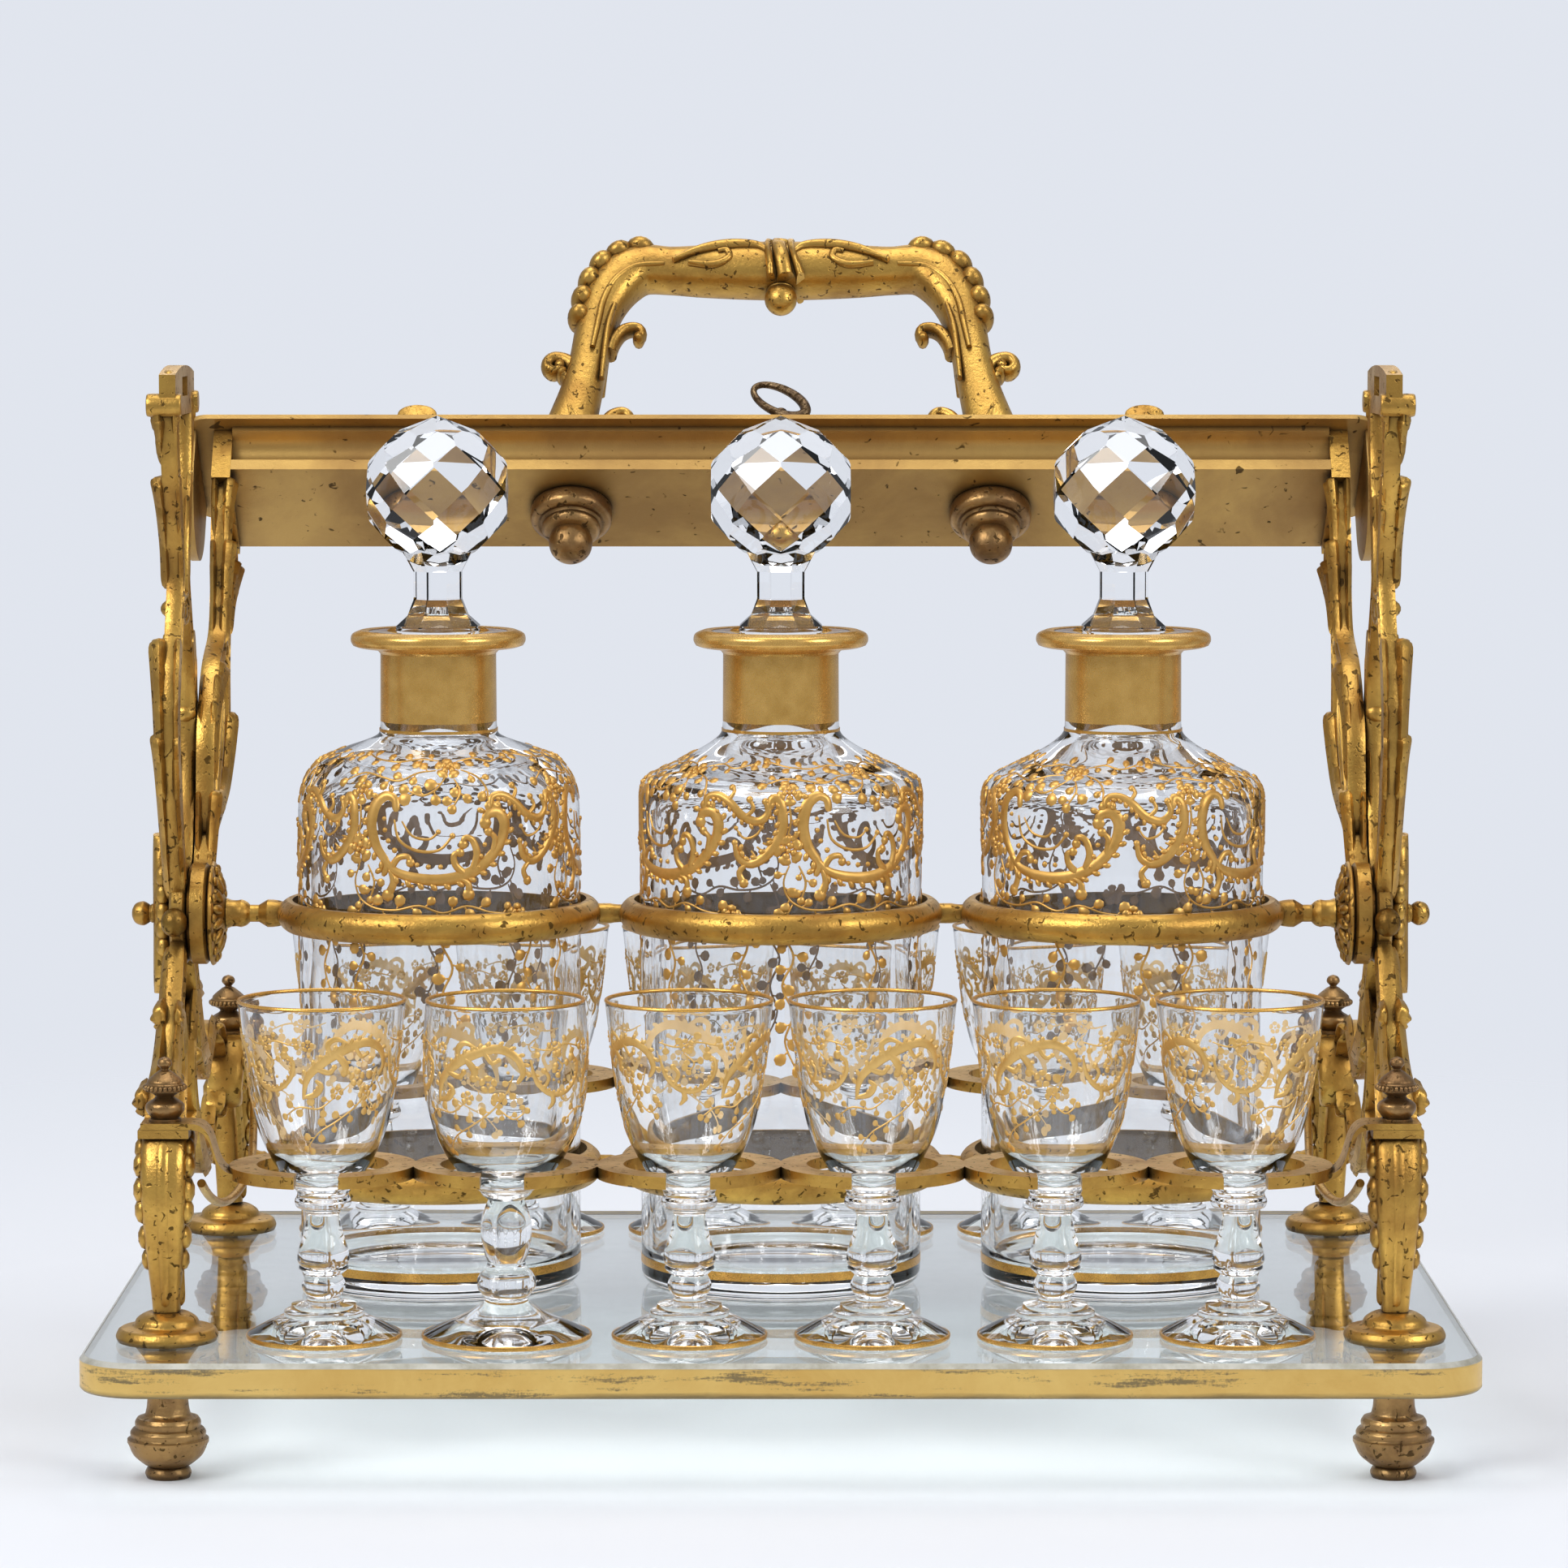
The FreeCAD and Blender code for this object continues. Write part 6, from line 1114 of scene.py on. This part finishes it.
makeNuts(nut)
print("stage: nuts")

# Key and the two thumb tabs, in (across, above the bar's top plate)
key = {"bow": (-0.4, 25.6), "half": (9.7, 3.9), "lean": 33.7, "rise": 1.24, "wire": (1.05, 1.75), "corners": 48,
       "stem": [(0, -9.5), (1.9, -9.5), (2.2, -8.8), (2.2, 3), [(2.2, 3), (3.4, 3.6), (3.4, 5), (2.3, 5.8)], (2.1, 12),
                [(2.1, 12), (3.2, 12.8), (3.2, 14.2), (2.2, 15)], (1.9, 21.4), (0, 22.4)],
       "bits": [(-9, -6.9, 5.2), (-6.2, -4.4, 4.6)]}
# Levels: share of the outline's width, place through the thickness, share of its height
tabs = {"x": 115, "y": -20.4, "half": 6.2, "thick": 1.3, "height": 8.2, "dome": 0.62, "domeSteps": 14,
        "levels": [(0.86, -1, 0.93), (1, -0.6, 1), (1, 0.6, 1), (0.86, 1, 0.93)]}


def makeKey(it):
    bm = bmesh.new()
    lean = math.radians(it["lean"])
    (x, z), (long, wide), (thin, thick) = it["bow"], it["half"], it["wire"]
    rows = []
    for k in range(it["corners"]):
        angle = 2 * math.pi * k / it["corners"]
        along, over = long * math.cos(angle), wide * math.sin(angle)
        wire = thin + (thick - thin) * (0.5 + 0.5 * math.cos(angle))
        rows.append((x + along * math.cos(lean) + over * math.sin(lean), -along * 0.25,
                     z + (-along * math.sin(lean) + over * math.cos(lean)) * it["rise"], wire, wire))
    strand(bm, rows, roundSection, alongY, True)
    lathe(bm, profile(it["stem"]), steps=28)
    for low, high, reach in it["bits"]:
        box(bm, (reach / 2 + 1, 0, (low + high) / 2), (reach, 1.6, high - low))
    makePiece("ovalBowKey", bm, plateSpace, "key", keyMetal, ["key"], 40)


def makeTabs(it):
    bm = bmesh.new()
    half, rise = it["half"], it["half"] * it["dome"]
    angles = [math.pi * k / it["domeSteps"] for k in range(it["domeSteps"] + 1)]
    dome = [(half * math.cos(a), it["height"] - rise + rise * math.sin(a)) for a in angles]
    outline = [(half, 0.02)] + dome + [(-half, 0.02)]
    for side in (-1, 1):
        rings = [[bm.verts.new((side * it["x"] + x * share, it["y"] + it["thick"] * y, z * up)) for x, z in outline]
                 for share, y, up in it["levels"]]
        for low, high in zip(rings, rings[1:]):
            for k in range(len(outline)):
                after = (k + 1) % len(outline)
                bm.faces.new((low[k], low[after], high[after], high[k]))
        bm.faces.new(rings[0][::-1])
        bm.faces.new(rings[-1])
    makePiece("roundThumbTabs", bm, plateSpace, "gate", gold, ["bar_tabs"], 35)


makeKey(key)
makeTabs(tabs)
print("stage: key and tabs")

# Carried-over nodes get their finish, and the plain plates a small rounding on their edges
finishes = {"gilt_brass": gold, "satin_brass": satin, "bronze_turnings": bronze, "key_bronze": keyMetal,
            "lock_steel": steel, "tray_glass": plateGlass, "decanter_crystal": crystal,
            "stopper_crystal": cutCrystal, "small_glass": crystal}
slots = {part["node"]: part["material_slot"] for part in frame["record"]["subparts"]}
for name, node in frame["nodes"].items():
    node.data.materials.clear()
    node.data.materials.append(finishes[slots[name]])
    if slots[name] != "stopper_crystal":
        node.data.shade_smooth()
        node.data.set_sharp_from_angle(angle=math.radians(30))
    if name in ("bar_body", "bar_underplate", "bar_top_plate", "left_end_plate", "right_end_plate",
                "front_glass_holder", "rear_glass_holder"):
        edge = node.modifiers.new("roundedEdges", "BEVEL")
        edge.width, edge.segments, edge.limit_method, edge.angle_limit = 0.4 * mm, 2, "ANGLE", math.radians(40)
        edge.harden_normals = True
print("stage: carried-over nodes")

# Camera, floor, lamps and backdrop
view = {"x": -0.13, "distance": 1775.9, "height": 309.0, "pixels": 7255.4, "pitch": 5.041, "yaw": 0.035}
studio = {
    "floor": (0.80, 0.815, 0.85), "backdrop": (0.752, 0.785, 0.855), "world": (0.80, 0.83, 0.90), "worldLevel": 0.5,
    "fade": ((0.36, 1.0), (0.95, 0.0)),
    # lamps: place, aim, size, power
    "lamps": {"keyLamp": ((-1500, -1300, 1700), (0, 0, 150), (1000, 900), 26),
              "fillLamp": ((1700, -1200, 1300), (0, 0, 150), (900, 800), 16),
              "topLamp": ((0, 200, 2200), (0, 0, 100), (1400, 1200), 17),
              "backLamp": ((0, 2200, 1500), (0, 0, 200), (2000, 700), 7)}}


def makeStage():
    eye = bpy.data.cameras.new("photoCamera")
    eye.sensor_width = 36
    eye.lens = 36 * view["pixels"] / 1932
    eye.clip_end = 50
    seen = bpy.data.objects.new("photoCamera", eye)
    bpy.context.scene.collection.objects.link(seen)
    seen.location = Vector((view["x"], rowY - view["distance"], trayTop + view["height"])) * mm
    seen.rotation_euler = (math.radians(90 - view["pitch"]), 0, math.radians(-view["yaw"]))
    bpy.context.scene.camera = seen
    # Floor that fades into the backdrop some way off
    bm = bmesh.new()
    bmesh.ops.create_grid(bm, x_segments=8, y_segments=8, size=3)
    mesh = bpy.data.meshes.new("paleFloor")
    bm.to_mesh(mesh)
    bm.free()
    floor = bpy.data.objects.new("paleFloor", mesh)
    bpy.context.scene.collection.objects.link(floor)
    paper = Finish("paleFloor")
    off = paper.node("ShaderNodeVectorMath", output="Value", settings={"operation": "LENGTH"}, Vector=paper.place)
    fade = paper.ramp(off, *studio["fade"])
    paper.set(Base_Color=studio["floor"], Roughness=0.9, Alpha=fade)
    paper.shader.inputs["Specular IOR Level"].default_value = 0.1
    mesh.materials.append(paper.material)
    for name, (at, aim, size, power) in studio["lamps"].items():
        lamp = bpy.data.lights.new(name, "AREA")
        lamp.shape = "RECTANGLE"
        lamp.size, lamp.size_y = size[0] * mm, size[1] * mm
        lamp.energy = power
        lit = bpy.data.objects.new(name, lamp)
        bpy.context.scene.collection.objects.link(lit)
        lit.location = Vector(at) * mm
        lit.rotation_euler = (Vector(aim) - Vector(at)).to_track_quat("-Z", "Y").to_euler()
    world = bpy.data.worlds.new("studioAir")
    bpy.context.scene.world = world
    world.use_nodes = True
    tree = world.node_tree
    ambient = tree.nodes["Background"]
    ambient.inputs["Color"].default_value = (*studio["world"], 1)
    ambient.inputs["Strength"].default_value = studio["worldLevel"]
    seenBackdrop = tree.nodes.new("ShaderNodeBackground")
    seenBackdrop.inputs["Color"].default_value = (*studio["backdrop"], 1)
    ray = tree.nodes.new("ShaderNodeLightPath")
    seenFactor = Wire(tree, ray.outputs["Is Camera Ray"]) + Wire(tree, ray.outputs["Is Transmission Ray"])
    both = tree.nodes.new("ShaderNodeMixShader")
    tree.links.new(seenFactor.socket, both.inputs[0])
    tree.links.new(ambient.outputs[0], both.inputs[1])
    tree.links.new(seenBackdrop.outputs[0], both.inputs[2])
    tree.links.new(both.outputs[0], tree.nodes["World Output"].inputs["Surface"])
    bpy.context.scene.view_settings.view_transform = "Standard"


makeStage()
print("stage: studio")
